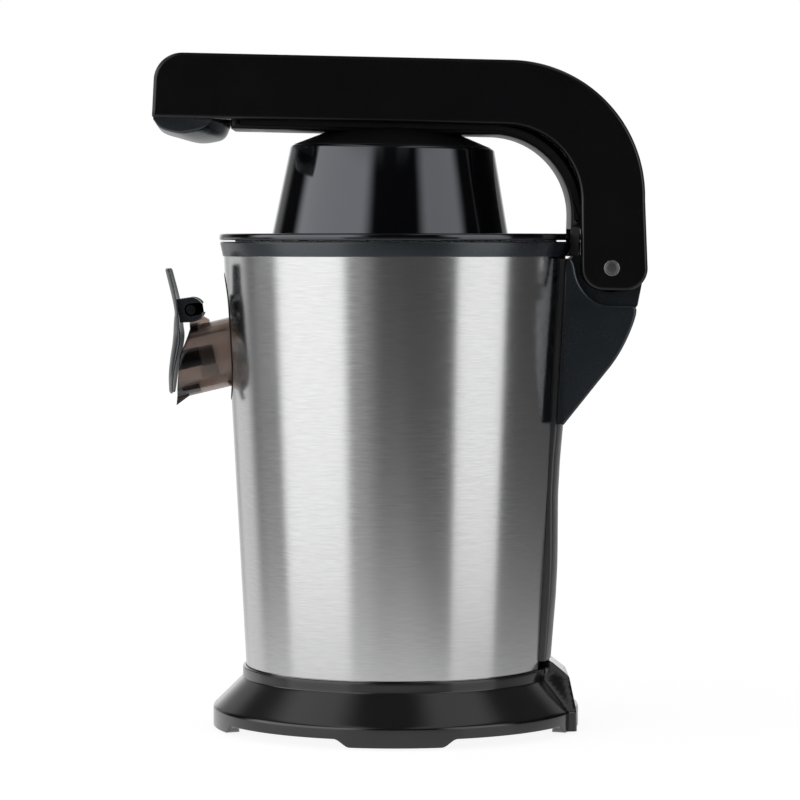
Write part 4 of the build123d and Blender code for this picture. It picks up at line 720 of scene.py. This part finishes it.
def edge_ring(half, edge, steps=5):
    """Places (x, inset) from one flat side over its rounded edge to the outline."""
    return [(half, edge + 0.25)] + [(half - inset, drop) for inset, drop in zip(*edge_steps(edge, steps))]


def plate(outline, ring, at=0.0):
    """Slab of a (y, z) outline: each (x, inset) of the ring, then the same mirrored about x = at."""
    offset = inward(outline)
    levels = list(ring) + [(-x, inset) for x, inset in reversed(ring)]
    rows = [np.concatenate([np.full((len(outline), 1), x + at), outline + offset * inset], axis=1)
            for x, inset in levels]
    return closed_ends(rows)


def along_x(shell, y, z):
    """A shell turned about Z laid down so that its axis runs along +X through (y, z)."""
    points, faces = shell
    points = np.asarray(points)
    return np.stack([points[:, 2], points[:, 0] + y, points[:, 1] + z], axis=1), faces


neck_line = np.array([
    (86.0, 215.0), (94.9, 206.0), (115.0, 206.0), (119.3, 210.7), (121.8, 223.3), (121.6, 233.2),
    (118.6, 242.2), (106.0, 241.8), (98.0, 238.2), (91.0, 236.2), (86.3, 233.6)])
tongue_line = rounded([(0, -TONGUE_HALF), (TONGUE_R, -TONGUE_HALF, 0.6), (TONGUE_R, TONGUE_HALF, 0.6),
                       (0, TONGUE_HALF)])
piece("hinge_bracket_form", [
    wing_shell(), plate(neck_line, edge_ring(TONGUE_HALF, 0.3, 2)),
    along_x(turned(tongue_line, 64), PIN_Y, PIN_Z)], anthracite, "housing", ["hinge_bracket"], crease=45.0)
bronze = metal("bronze", (0.55, 0.38, 0.2), 0.36)
dress(bronze, "hinge_bushes", "spindle_bush")
dress(zinc_screws, "bracket_screws")

# ---------------------------------------------------------------- juice bowl, rim, strainer
# The bowl of smoke-brown clear plastic hangs in the collar by its gloss black disc, and its spout comes out
# through the slot. Its colour carries painted shade: dark patches where the spout's facets look dark. A steel
# strainer lies in it.
BOWL_R, BOWL_FLOOR, BOWL_WALL, TUBE_R, TUBE_BORE_R = 73.0, 175.1, 2.2, 9.5, 7.0
SPOUT_R, SPOUT_BORE_R, SPOUT_Y, SPOUT_Z, SPOUT_FALL = 16.9, 14.6, -83.4, 187.15, radians(13.3)
MOUTH = np.array([(150.0, -112.0), (160.5, -109.5), (166.0, -109.0), (177.8, -107.8), (186.5, -106.8),
                  (193.0, -104.3), (197.0, -103.0), (210.0, -101.0)])
SPOUT_ROOT, SPOUT_EDGE = 1.2, 0.8
# near-black colour of the painted shade on the spout, and the soft width of its patches' edges
PAINTED_SHADE_COLOUR, PAINTED_SHADE_EDGE = (0.004, 0.003, 0.003, 1.0), 0.4


def smoked_glass(name, shade, see_through, rough, painted_shade_patches):
    """Tinted clear moulding: a transmissive body with noise in its tone and polish, plus painted shade.

    The painted shade is patches (s low, s high, u low, u high, depth) along and across the spout, in
    millimetres, where the colour is mixed towards near-black."""
    finish = new_finish(name)
    flow = open_nodes(finish)
    place = flow.node("ShaderNodeTexCoord", out="Object")
    cloud = flow.node("ShaderNodeTexNoise", Vector=place, Scale=40.0, Detail=4.0)
    wear = flow.node("ShaderNodeTexNoise", Vector=place, Scale=260.0, Detail=4.0)
    low, high = tuple(c * 0.85 for c in shade) + (1.0,), tuple(c * 1.12 for c in shade) + (1.0,)
    bump = flow.node("ShaderNodeBump", Strength=0.05, Distance=0.0002, Height=cloud)
    place_y = flow.node("ShaderNodeSeparateXYZ", out="Y", i0=place)
    ahead, up = place_y - SPOUT_Y * MM, place_y.output("Z") - SPOUT_Z * MM
    outward = (ahead * cos(SPOUT_FALL) + up * sin(SPOUT_FALL)) * (-1.0 / MM)
    across = (up * cos(SPOUT_FALL) - ahead * sin(SPOUT_FALL)) * (1.0 / MM)

    def between(here, first, last):
        """1 from first to last and 0 outside, with soft ends."""
        past_last = here.step(last - PAINTED_SHADE_EDGE, last + PAINTED_SHADE_EDGE)
        return here.step(first - PAINTED_SHADE_EDGE, first + PAINTED_SHADE_EDGE) * (1.0 - past_last)

    # painted shade: near-black mixed into the tint over the listed patches on the spout
    painted_shade = outward * 0.0
    for near, far, under, over, depth in painted_shade_patches:
        painted_shade = painted_shade + between(outward, near, far) * between(across, under, over) * depth
    tone = painted_shade.maths("MINIMUM", 1.0).blend(cloud.step(0.3, 0.7).blend(low, high), PAINTED_SHADE_COLOUR)
    surface = flow.node("ShaderNodeBsdfPrincipled", Base_Color=tone,
                        Roughness=(wear - 0.5) * 0.06 + rough, Normal=bump, IOR=1.5,
                        Transmission_Weight=see_through)
    flow.node("ShaderNodeOutputMaterial", Surface=surface)
    return finish


# the six patches after the roughness are painted shade where the spout's facets look dark
smoke_plastic = smoked_glass("smoke_plastic", (0.42, 0.33, 0.285), 0.70, 0.04, (
    (13.5, 40.0, -3.0, 6.3, 0.97), (6.5, 13.5, -3.6, 6.0, 0.80), (6.0, 15.0, -9.5, -3.6, 0.35),
    (-2.0, 19.0, 11.0, 12.0, 0.7), (17.5, 40.0, -40.0, -11.5, 0.85), (12.0, 24.0, 13.6, 18.0, 0.9)))


def spout_shell():
    """Tube p = o + s d + r (cos a x + sin a u), from the bowl's wall to the mouth's slanted line y(z)."""
    angle = np.linspace(0, 2 * pi, 128, endpoint=False)
    down, up = np.array([-cos(SPOUT_FALL), -sin(SPOUT_FALL)]), np.array([-sin(SPOUT_FALL), cos(SPOUT_FALL)])

    def place(radius, s):
        """The ring of points at s along the spout."""
        return np.stack([radius * np.cos(angle), SPOUT_Y + s * down[0] + radius * np.sin(angle) * up[0],
                         SPOUT_Z + s * down[1] + radius * np.sin(angle) * up[1]], axis=1)

    def reach(radius, mouth):
        """By halving, the s at which each line of the tube meets the bowl's wall or the mouth."""
        near, far = np.full(len(angle), -30.0), np.full(len(angle), 45.0)
        for _ in range(40):
            middle = (near + far) / 2
            spot = place(radius, middle)
            limit = -np.sqrt((BOWL_R - SPOUT_ROOT) ** 2 - spot[:, 0] ** 2)
            if mouth:
                limit = np.interp(spot[:, 2], MOUTH[:, 0], MOUTH[:, 1])
            beyond = spot[:, 1] < limit
            near, far = np.where(beyond, near, middle), np.where(beyond, middle, far)
        return near

    start, end, inner_end = reach(SPOUT_R, False), reach(SPOUT_R, True), reach(SPOUT_BORE_R, True)
    rows = [place(SPOUT_R, start + (end - SPOUT_EDGE - start) * t) for t in np.linspace(0, 1, 14)]
    for t in np.linspace(0, pi, 9)[1:-1]:
        mid, half = (SPOUT_R + SPOUT_BORE_R) / 2, (SPOUT_R - SPOUT_BORE_R) / 2
        share = 0.5 - 0.5 * cos(t)
        lip = end * (1 - share) + inner_end * share - SPOUT_EDGE + SPOUT_EDGE * sin(t)
        rows.append(place(mid + half * cos(t), lip))
    inner_start = reach(SPOUT_BORE_R, False)
    rows += [place(SPOUT_BORE_R, inner_end - SPOUT_EDGE + (inner_start - inner_end + SPOUT_EDGE) * t)
             for t in np.linspace(0, 1, 14)]
    return np.concatenate(rows), ring_faces(len(rows), len(angle))


bowl_line = rounded([
    (TUBE_R, 180.1, 1.0), (TUBE_R, 227.0, 0.8), (TUBE_BORE_R, 227.0, 0.6), (TUBE_BORE_R, 177.9),
    (67.0, 172.9, 2.0), (BOWL_R, 179.1, 2.0), (BOWL_R, 242.9), (BOWL_R - BOWL_WALL, 242.9),
    (BOWL_R - BOWL_WALL, 180.1, 2.0), (BOWL_R - BOWL_WALL - 5, BOWL_FLOOR, 2.0)])
carrier_line = rounded([(-102.5, 196.0), (-93.0, 198.0), (-93.0, 203.4, 1.0), (-97.5, 206.0, 1.5),
                        (-98.2, 210.5, 2.0), (-101.7, 212.6, 3.0), (-105.6, 210.8, 3.0),
                        (-106.0, 207.0, 3.0), (-102.9, 203.4, 1.0)])
lip_line = np.array([(-103.0, 165.4), (-109.4, 160.6), (-108.9, 166.6), (-104.0, 168.0)])
piece("juice_bowl_form", [
    turned(bowl_line, 192), spout_shell(), plate(carrier_line, edge_ring(5.6, 0.8)),
    plate(lip_line, edge_ring(6.0, 0.4, 3))], smoke_plastic, "housing", ["juice_bowl"])

rim_gloss = moulded("rim_gloss", (0.0030, 0.0031, 0.0040), 0.07, haze=0.04, relief=0.02, specular=1.0,
                    tint=(0.88, 0.92, 1.0))
disc_line = rounded([
    (65.5, 246.2, 0.8), (88.1, 246.2, 1.1), (88.1, 242.9, 0.9), (68.0, 242.9), (68.0, 233.5),
    (62.0, 233.5), (62.0, 236.0, 0.3), (65.5, 236.0)])
piece("bowl_rim_form", [turned(disc_line, 256)], rim_gloss, "housing", ["bowl_rim"])
strainer_steel = metal("strainer_steel", (0.6, 0.6, 0.6), 0.24)
dress(strainer_steel, "pulp_strainer")

# ---------------------------------------------------------------- drip stop and its pin
# An anthracite plate that clips round a black pin on the spout and hangs over its mouth. It is a little
# bent in plan, so that its sides stand back from its middle, and two lugs behind it hold the pin.
DRIP_PIN_Y, DRIP_PIN_Z, DRIP_PIN_R, LUG_R = -101.7, 208.4, 2.5, 6.2
FLAP_BACK = np.array([(166.6, -110.6), (178.1, -109.2), (186.8, -107.1), (195.0, -105.6), (200.8, -106.8),
                      (212.6, -107.8), (228.9, -112.0)])
FLAP_FRONT = np.array([(166.6, -113.3), (176.0, -113.7), (184.1, -112.9), (193.2, -111.4),
                       (203.5, -110.9), (207.8, -110.1), (228.9, -115.4)])
FLAP_HALF = np.array([(166.6, 10.5), (169.0, 13.6), (173.0, 16.4), (178.0, 17.8), (205.0, 17.8),
                      (213.0, 14.6), (219.0, 12.6), (226.0, 11.8), (228.9, 10.6)])
FLAP_EDGE, FLAP_SHARE = 1.2, 0.42


def flap_shell():
    """Level sections x = h(z) cos t |cos t|^-0.55, thinner than front to back and bent by x^2 / h^2."""
    turn = np.linspace(0, 2 * pi, 56, endpoint=False)
    x_part = np.sign(np.cos(turn)) * np.abs(np.cos(turn)) ** 0.45
    y_part = np.sign(np.sin(turn)) * np.abs(np.sin(turn)) ** 0.6
    rows = []
    levels = np.linspace(FLAP_BACK[0, 0], FLAP_BACK[-1, 0], 90)
    lines = [soften(line, 3) for line in (FLAP_BACK, FLAP_FRONT, FLAP_HALF)]
    for z in levels:
        back, front, widest = (np.interp(z, line[:, 0], line[:, 1]) for line in lines)
        end = min(z - levels[0], levels[-1] - z)
        shrink = sqrt(max(1 - (1 - min(end / FLAP_EDGE, 1)) ** 2, 0.02))
        half = widest - FLAP_EDGE * (1 - shrink)
        thick = FLAP_SHARE * (back - front)
        middle = front + thick / 2 + (back - front - thick) * x_part ** 2
        rows.append(level(half * x_part, middle + thick / 2 * shrink * y_part, z))
    return closed_ends(rows)


def arc(middle, radius, first, last, steps):
    """Points on a circle from first to last, in degrees."""
    turn = np.radians(np.linspace(first, last, steps))
    return [(middle[0] + radius * cos(t), middle[1] + radius * sin(t)) for t in turn]


pin_spot = (DRIP_PIN_Y, DRIP_PIN_Z)
lug_line = np.array(
    arc(pin_spot, LUG_R, -14, -90, 12) + [(-107.2, 202.0), (-108.8, 213.6), (-103.0, 214.4)]
    + arc(pin_spot, LUG_R, 97, 32, 10) + arc(pin_spot, 2.6, 46, 326, 30))
piece("drip_stop_form", [flap_shell()] + [plate(lug_line, edge_ring(2.9, 0.35, 3), side * 9.1)
                                          for side in (-1, 1)], anthracite, "drip_flap", ["drip_stop"])
pin_line = rounded([(0, -12.4), (DRIP_PIN_R, -12.4, 0.5), (DRIP_PIN_R, 12.4, 0.5), (0, 12.4)])
piece("drip_pin_form", [along_x(turned(pin_line, 48), *pin_spot)], housing_plastic, "housing", ["drip_pin"])

# ---------------------------------------------------------------- reamer, drive and switch
# The ribbed reamer of black plastic stands on the steel drive shaft. Motor, gearbox, spring and switch sit
# below it inside the tower; they keep the shapes that they have in the frame and get their finishes here.
REAMER_R, REAMER_LOW, REAMER_FINS = 37.0, 235.4, 10
REAMER_LINE = np.array([(0.0, 1.0), (0.147, 0.93), (0.441, 0.743), (0.735, 0.486), (0.932, 0.23),
                        (0.985, 0.09)])
REAMER_HIGH, REAMER_CORE, FIN_HALF = 44.2, 0.8, 2.6


def reamer_shell():
    """r = R(z) (c + (1 - c) max(0, 1 - (s / w)^2)), s the distance from the nearest of the ten fins."""
    angle = np.linspace(0, 2 * pi, 480, endpoint=False)
    off = (angle * REAMER_FINS / (2 * pi) + 0.5) % 1 - 0.5
    share = np.linspace(0.036, 0.985, 60)
    rows = []
    for radius, z in ((0.5, 0.0), (REAMER_R - 0.5, 0.0), (REAMER_R, 0.4), (REAMER_R, 1.2),
                      (REAMER_R - 0.4, 1.6)):
        rows.append(circle(angle, radius, REAMER_LOW + z))
    for t in share:
        full = REAMER_R * np.interp(t, REAMER_LINE[:, 0], REAMER_LINE[:, 1])
        reach = off * 2 * pi / REAMER_FINS * full / FIN_HALF
        blade = np.maximum(1 - reach ** 2, 0) ** 0.8
        core = REAMER_CORE + 0.12 * smooth_step(t, 0.8, 1.0)
        radius = full * (core + (1 - core) * blade)
        rows.append(circle(angle, radius, REAMER_LOW + REAMER_HIGH * t))
    count, size = len(rows), len(angle)
    vertices = np.concatenate(rows + [[[0, 0, REAMER_LOW], [0, 0, REAMER_LOW + REAMER_HIGH]]])
    faces = ring_faces(count, size, closed_rows=False)
    faces += fan(count * size, 0, size, under=True)
    faces += fan(count * size + 1, (count - 1) * size, size, under=False)
    return vertices, faces


reamer_plastic = moulded("reamer_plastic", (0.010, 0.010, 0.011), 0.28)
piece("reamer_form", [reamer_shell()], reamer_plastic, "spindle", ["reamer_cone"], crease=50.0)
motor_steel = metal("motor_steel", (0.35, 0.36, 0.37), 0.42)
gear_nylon = moulded("gear_nylon", (0.72, 0.71, 0.66), 0.45)
gearbox_plastic = moulded("gearbox_plastic", (0.045, 0.045, 0.047), 0.5)
switch_plastic = moulded("switch_plastic", (0.08, 0.08, 0.085), 0.45)
spring_steel = metal("spring_steel", (0.5, 0.5, 0.5), 0.25)
satin_steel = metal("satin_steel", (0.42, 0.42, 0.43), 0.30)
dress(satin_steel, "drive_shaft", "rotor_shaft", "idler_axle")
dress(motor_steel, "motor_can", "motor_end_cap", "stator", "armature", "support_posts")
dress(gear_nylon, "output_gear", "idler_gear", "motor_pinion")
dress(gearbox_plastic, "gearbox_case", "gearbox_cover", "cooling_fan", "thrust_plate")
dress(switch_plastic, "switch_body", "switch_plunger", "terminal_block")
dress(spring_steel, "return_spring")
dress(foot_rubber, "rubber_mounts", "shaft_seal")
dress(zinc_screws, "gearbox_screws", "post_screws")

# ---------------------------------------------------------------- lever arm
# A hollow arm of black plastic with rounded edges all round: it is drawn level and turned up by its resting
# tilt. Its cheeks straddle the bracket's tongue on the pin.
TILT = radians(1.27)
ARM_HALF, ARM_WALL, ARM_EDGE, POCKET_HALF = 32.0, 3.0, 1.8, 24.0
ARM_FRONT, ARM_UNDER, ARM_TOP, ARM_NOSE_R = -121.1, 298.0, 330.1, 14.0
ARM_BACK, ARM_OUTER_R, ARM_INNER, ARM_INNER_R = 121.66, 67.0, 89.9, 36.8
FOOT_FRONT, FOOT_BACK, FOOT_DROP, FOOT_FLAT = 15.2, 17.7, 11.25, (-4.0, 6.0)
GATE = 20.0                     # the wall between the cheeks ends this far above the pin
POCKET_FRONT, POCKET_BACK, LEG_FRONT, LEG_WALL = 3.0, 52.0, 80.0, 4.0


def tilted(shell):
    """The shell turned about the hinge: y' = y cos t + z sin t, z' = z cos t - y sin t."""
    points, faces = shell
    points = np.asarray(points, float).reshape(-1, 3)
    y, z = points[:, 1] - PIN_Y, points[:, 2] - PIN_Z
    return np.stack([points[:, 0], PIN_Y + y * cos(TILT) + z * sin(TILT),
                     PIN_Z - y * sin(TILT) + z * cos(TILT)], axis=1), faces


def arm_line():
    """Side outline: flat underside, rounded nose, long flat top, great bend, foot round the pin."""
    foot = [(PIN_Y + FOOT_FLAT[1] + (FOOT_BACK - FOOT_FLAT[1]) * cos(t), PIN_Z - FOOT_DROP * sin(t))
            for t in np.linspace(0, pi / 2, 16)]
    foot += [(PIN_Y + FOOT_FLAT[0] - (FOOT_FRONT + FOOT_FLAT[0]) * sin(t), PIN_Z - FOOT_DROP * cos(t))
             for t in np.linspace(0, pi / 2, 16)]
    line = [(ARM_INNER - ARM_INNER_R, ARM_UNDER), (ARM_FRONT + 0.7, ARM_UNDER),
            (ARM_FRONT, ARM_UNDER + 0.7), (ARM_FRONT + 0.5, ARM_TOP - ARM_NOSE_R)]
    line += arc((ARM_FRONT + 0.5 + ARM_NOSE_R, ARM_TOP - ARM_NOSE_R), ARM_NOSE_R, 180, 90, 16)[1:]
    line += arc((ARM_BACK - ARM_OUTER_R, ARM_TOP - ARM_OUTER_R), ARM_OUTER_R, 90, 0, 40)
    line += foot
    line += arc((ARM_INNER - ARM_INNER_R, ARM_UNDER - ARM_INNER_R), ARM_INNER_R, 0, 90, 28)[:-1]
    return finer(np.array(line), 4.0)


def arm_shell():
    """Rounded edge rings on both sides; the wall between them is left out where the arm is open.

    Every station has ring points at (x, inset) and, where there is a wall, points (24, 3) inside it."""
    line = arm_line()
    offset = inward(line)
    y, z = line[:, 0], line[:, 1]
    below = (np.abs(z - ARM_UNDER) < 0.05) & (y > ARM_FRONT + POCKET_FRONT)
    between_cheeks = (z < PIN_Z + GATE) & (y > LEG_FRONT)
    inner_bend = (y < ARM_INNER + LEG_WALL) & (y > POCKET_BACK) & (z < ARM_UNDER) & (z > PIN_Z)
    stations = np.nonzero(~(below | between_cheeks | inner_bend))[0]
    first, last, size = stations[0], stations[-1], len(line)
    ring = edge_ring(ARM_HALF, ARM_EDGE, 6) + [(POCKET_HALF, 0.0)]
    rows, rounds = [], len(ring)
    for side in (1, -1):
        for x, inset in ring:
            rows.append(np.concatenate([np.full((size, 1), side * x), line + offset * inset], axis=1))
        inner_line = line + offset * ARM_WALL
        rows.append(np.concatenate([np.full((size, 1), side * POCKET_HALF), inner_line], axis=1))
    faces = []
    for side in range(2):
        start = side * (rounds + 1) * size
        quads = start + np.array(ring_faces(rounds, size, closed_rows=False))
        faces += (quads if side == 0 else quads[:, ::-1]).tolist()
        cap = tuple(range(start, start + size))
        faces.append(tuple(reversed(cap)) if side == 0 else cap)
        edge, inner = start + (rounds - 1) * size, start + rounds * size
        pocket = [edge + (last + 1 + k) % size for k in range(size - (last - first) - 1)]
        pocket = [edge + last] + pocket + [edge + first]
        pocket += [inner + k for k in range(first, last + 1)]
        faces.append(tuple(pocket) if side == 0 else tuple(reversed(pocket)))
    edge, inner = (rounds - 1) * size, rounds * size
    mirror = (rounds + 1) * size
    here = np.arange(first, last)
    out_here, in_here = edge + here, inner + here
    faces += np.stack([out_here, out_here + 1, mirror + out_here + 1, mirror + out_here], axis=1).tolist()
    faces += np.stack([in_here + 1, in_here, mirror + in_here, mirror + in_here + 1], axis=1).tolist()
    faces.append((inner + first, edge + first, mirror + edge + first, mirror + inner + first))
    faces.append((edge + last, inner + last, mirror + inner + last, mirror + edge + last))
    vertices = np.concatenate(rows)
    used = np.unique(np.concatenate([np.array(face) for face in faces]))
    number = np.full(len(vertices), -1)
    number[used] = np.arange(len(used))
    return vertices[used], [tuple(int(number[v]) for v in face) for face in faces]


arm_plastic = moulded("arm_plastic", (0.0048, 0.0047, 0.0056), 0.22, haze=0.08)
piece("arm_form", [tilted(arm_shell())], arm_plastic, "lever", ["arm_shell"])

# ---------------------------------------------------------------- underside cover, screws and grip
# A matt plastic cover closes the arm from below, held by screws, and runs round the inner bend. The
# anthracite grip swells under the arm's front. Both are drawn level and turned up with the arm.
COVER_FRONT, COVER_LOW, COVER_BACK, COVER_R = -82.5, 293.6, 85.8, 39.5
cover_line = finer(np.array(
    [(COVER_FRONT, 300.0), (COVER_FRONT, COVER_LOW), (COVER_BACK - COVER_R, COVER_LOW)]
    + arc((COVER_BACK - COVER_R, COVER_LOW - COVER_R), COVER_R, 90, 0, 26)[1:]
    + [(COVER_BACK, 248.1), (91.8, 248.1)]
    + arc((91.8 - 47.5, 300.0 - 47.5), 47.5, 0, 90, 20)), 5.0)
COVER_RING = [(27.6, 4.65), (27.6, 4.4), (26.15, 0.85), (25.9, 0.38), (25.5, 0.1), (25.0, 0.0)]
cover_plastic = moulded("cover_plastic", (0.0045, 0.0045, 0.005), 0.42, specular=0.25)


def skirt_shell(side):
    """One of the cover's two side skirts: a plan outline (x, y) drawn up from its chamfered foot."""
    plan = np.array([(24.4, 85.8), (25.8, 85.8), (27.44, 89.8), (24.4, 89.8)]) * (side, 1.0)
    middle = plan.mean(axis=0)
    rows = [np.column_stack([middle + (plan - middle) * share, np.full(4, z)])
            for share, z in ((0.8, 234.35), (1.0, 234.6), (1.0, 249.0))]
    return closed_ends(rows)


cover_shells = [plate(cover_line, COVER_RING), skirt_shell(1.0), skirt_shell(-1.0)]
piece("arm_cover_form", [tilted(shell) for shell in cover_shells], cover_plastic, "lever", ["arm_liner"],
      crease=38.0)
dress(zinc_screws, "arm_screws")

GRIP_HALF, GRIP_FRONT, GRIP_EDGE, GRIP_END, GRIP_SUNK = 31.2, -120.4, 1.4, 0.82, 0.6
GRIP_SIDE = np.array([(0.0, -1.0), (3.1, -4.7), (8.1, -6.6), (13.5, -7.2), (20.3, -6.0), (25.7, -4.0),
                      (28.9, -1.0)])
GRIP_MID = np.array([(0.0, -1.0), (3.1, -6.4), (11.0, -9.0), (21.1, -11.3), (29.1, -10.5), (34.0, -8.2),
                     (37.2, -1.0)])


def through(points, count):
    """Points evenly along a Catmull-Rom curve: p = ((2b) + (c-a)t + (2a-5b+4c-d)t^2 + (3b-a-3c+d)t^3)/2."""
    padded = np.concatenate([[2 * points[0] - points[1]], points, [2 * points[-1] - points[-2]]])
    spans = len(points) - 1
    curve = []
    for where in np.linspace(0, spans - 1e-9, count):
        k = int(where)
        t = where - k
        a, b, c, d = padded[k:k + 4]
        curve.append((2 * b + (c - a) * t + (2 * a - 5 * b + 4 * c - d) * t * t
                      + (3 * b - a - 3 * c + d) * t ** 3) / 2)
    return np.array(curve)


def grip_shell():
    """Sections across the grip: side + (middle - side)(1 - (x / h)^2), flattened a little at its ends."""
    side, middle = through(GRIP_SIDE, 40), through(GRIP_MID, 40)
    rows = []
    for x in GRIP_HALF * np.sin(np.linspace(-pi / 2, pi / 2, 41)):
        share = 1 - (x / GRIP_HALF) ** 2
        end = min((GRIP_HALF - abs(x)) / GRIP_EDGE, 1.0)
        belly = side + (middle - side) * share
        belly = belly * (1, GRIP_END + (1 - GRIP_END) * sqrt(1 - (1 - end) ** 2))
        top = np.array([(belly[-1, 0], GRIP_SUNK), (belly[0, 0], GRIP_SUNK)])
        section = np.concatenate([belly, top]) + (GRIP_FRONT, ARM_UNDER)
        rows.append(np.concatenate([np.full((len(section), 1), x), section], axis=1))
    return closed_ends(rows)


piece("finger_grip_form", [tilted(grip_shell())], anthracite, "lever", ["finger_grip"], crease=45.0)

# ---------------------------------------------------------------- press bell, crown, cup and pin
# The gloss black bell hangs under the arm by its matt crown. Inside it the ribbed cup, held by a steel
# screw, presses the fruit. The steel pin joins the lever to the bracket.
BELL_Y, BELL_TOP, BELL_TOP_R, BELL_LOW, BELL_LOW_R, BELL_WALL = -2.9, 286.9, 50.75, 238.6, 59.85, 2.8
CROWN_R, CROWN_Z, CROWN_SEAT = 27.0, 296.2, 299.0
CUP_APEX, CUP_RIM_R, CUP_RIM, CUP_RIBS = 282.0, 48.0, 240.6, 10
CUP_WALL, RIB_DEEP, RIB_CREST, RIB_HALF, FLANGE_R, FLANGE = 1.9, 1.5, 0.7, 1.6, 55.45, 1.8
CUP_LINE = np.array([(7.0, 0.0), (13.0, 1.2), (27.6, 8.2), (38.8, 19.4), (44.8, 31.0), (CUP_RIM_R, 41.4)])
bell_line = rounded([
    (BELL_LOW_R, BELL_LOW, 0.7), (BELL_TOP_R, BELL_TOP, 1.8), (3.0, BELL_TOP), (3.0, BELL_TOP - BELL_WALL),
    (BELL_TOP_R - BELL_WALL, BELL_TOP - BELL_WALL, 1.5), (BELL_LOW_R - BELL_WALL, BELL_LOW, 0.7)])
piece("press_bell_form", [tilted(turned(bell_line, 256, (0.0, BELL_Y)))], rim_gloss, "lever", ["press_bell"])
crown_line = rounded([
    (0, BELL_TOP), (BELL_TOP_R - 1.6, BELL_TOP, 0.05), (BELL_TOP_R - 1.8, BELL_TOP + 0.4, 0.3),
    (CROWN_R, CROWN_Z, 1.5), (CROWN_R, CROWN_SEAT), (0, CROWN_SEAT)])
piece("bell_crown_form", [tilted(turned(crown_line, 192, (0.0, BELL_Y)))], cover_plastic, "lever",
      ["bell_crown"])


def cup_shell():
    """Dome profile turned about the bell; ten ribs stand d high inside, falling from |s| = crest to half."""
    inside = through(CUP_LINE, 50)
    inside = np.stack([inside[:, 0], CUP_APEX - inside[:, 1]], axis=1)
    along = np.gradient(inside, axis=0)
    normal = np.stack([along[:, 1], -along[:, 0]], axis=1) / np.hypot(along[:, 0], along[:, 1])[:, None]
    outside = inside + np.abs(normal) * CUP_WALL
    angle = np.linspace(0, 2 * pi, 360, endpoint=False)
    off = np.abs((angle * CUP_RIBS / (2 * pi) + 0.5) % 1 - 0.5) * 2 * pi / CUP_RIBS
    rows = []

    def row(radius, z):
        """One turned row; radius and z may change with the angle."""
        rows.append(np.stack([radius * np.cos(angle), radius * np.sin(angle) + BELL_Y,
                              np.zeros_like(angle) + z], axis=1))

    for k, (radius, z) in enumerate(inside):
        crest = 1 - smooth_step(off * radius, RIB_CREST, RIB_HALF)
        rib = RIB_DEEP * crest * smooth_step(radius, 9.0, 14.0)
        row(radius - rib * abs(normal[k, 0]), z - rib * abs(normal[k, 1]))
    for radius, z in rounded([(CUP_RIM_R, CUP_RIM), (FLANGE_R, CUP_RIM, 0.4),
                              (FLANGE_R - 0.3, CUP_RIM + FLANGE, 0.4),
                              (CUP_RIM_R + CUP_WALL, CUP_RIM + FLANGE)])[1:]:
        row(radius, z)
    for radius, z in outside[::-1][1:]:
        row(radius, min(z, BELL_TOP - BELL_WALL))
    row(3.0, BELL_TOP - BELL_WALL)
    row(3.0, CUP_APEX)
    return np.concatenate(rows), ring_faces(len(rows), len(angle))


cup_plastic = moulded("cup_plastic", (0.014, 0.014, 0.015), 0.34)
piece("press_cup_form", [tilted(cup_shell())], cup_plastic, "lever", ["press_cup"], crease=50.0)
dress(satin_steel, "cup_screw")
PIN_END, PIN_GROOVE = 32.25, 32.05
pin_side = [(0, PIN_END), (2.6, PIN_END, 0.2), (2.75, PIN_GROOVE), (3.05, PIN_GROOVE), (3.2, PIN_END, 0.15),
            (PIN_R, PIN_END, 0.45)]
hinge_line = rounded([(point[0], -point[1], *point[2:]) for point in pin_side] + pin_side[::-1], 4)
piece("hinge_pin_form", [along_x(turned(hinge_line, 64), PIN_Y, PIN_Z)], satin_steel, "lever",
      ["hinge_pin"])
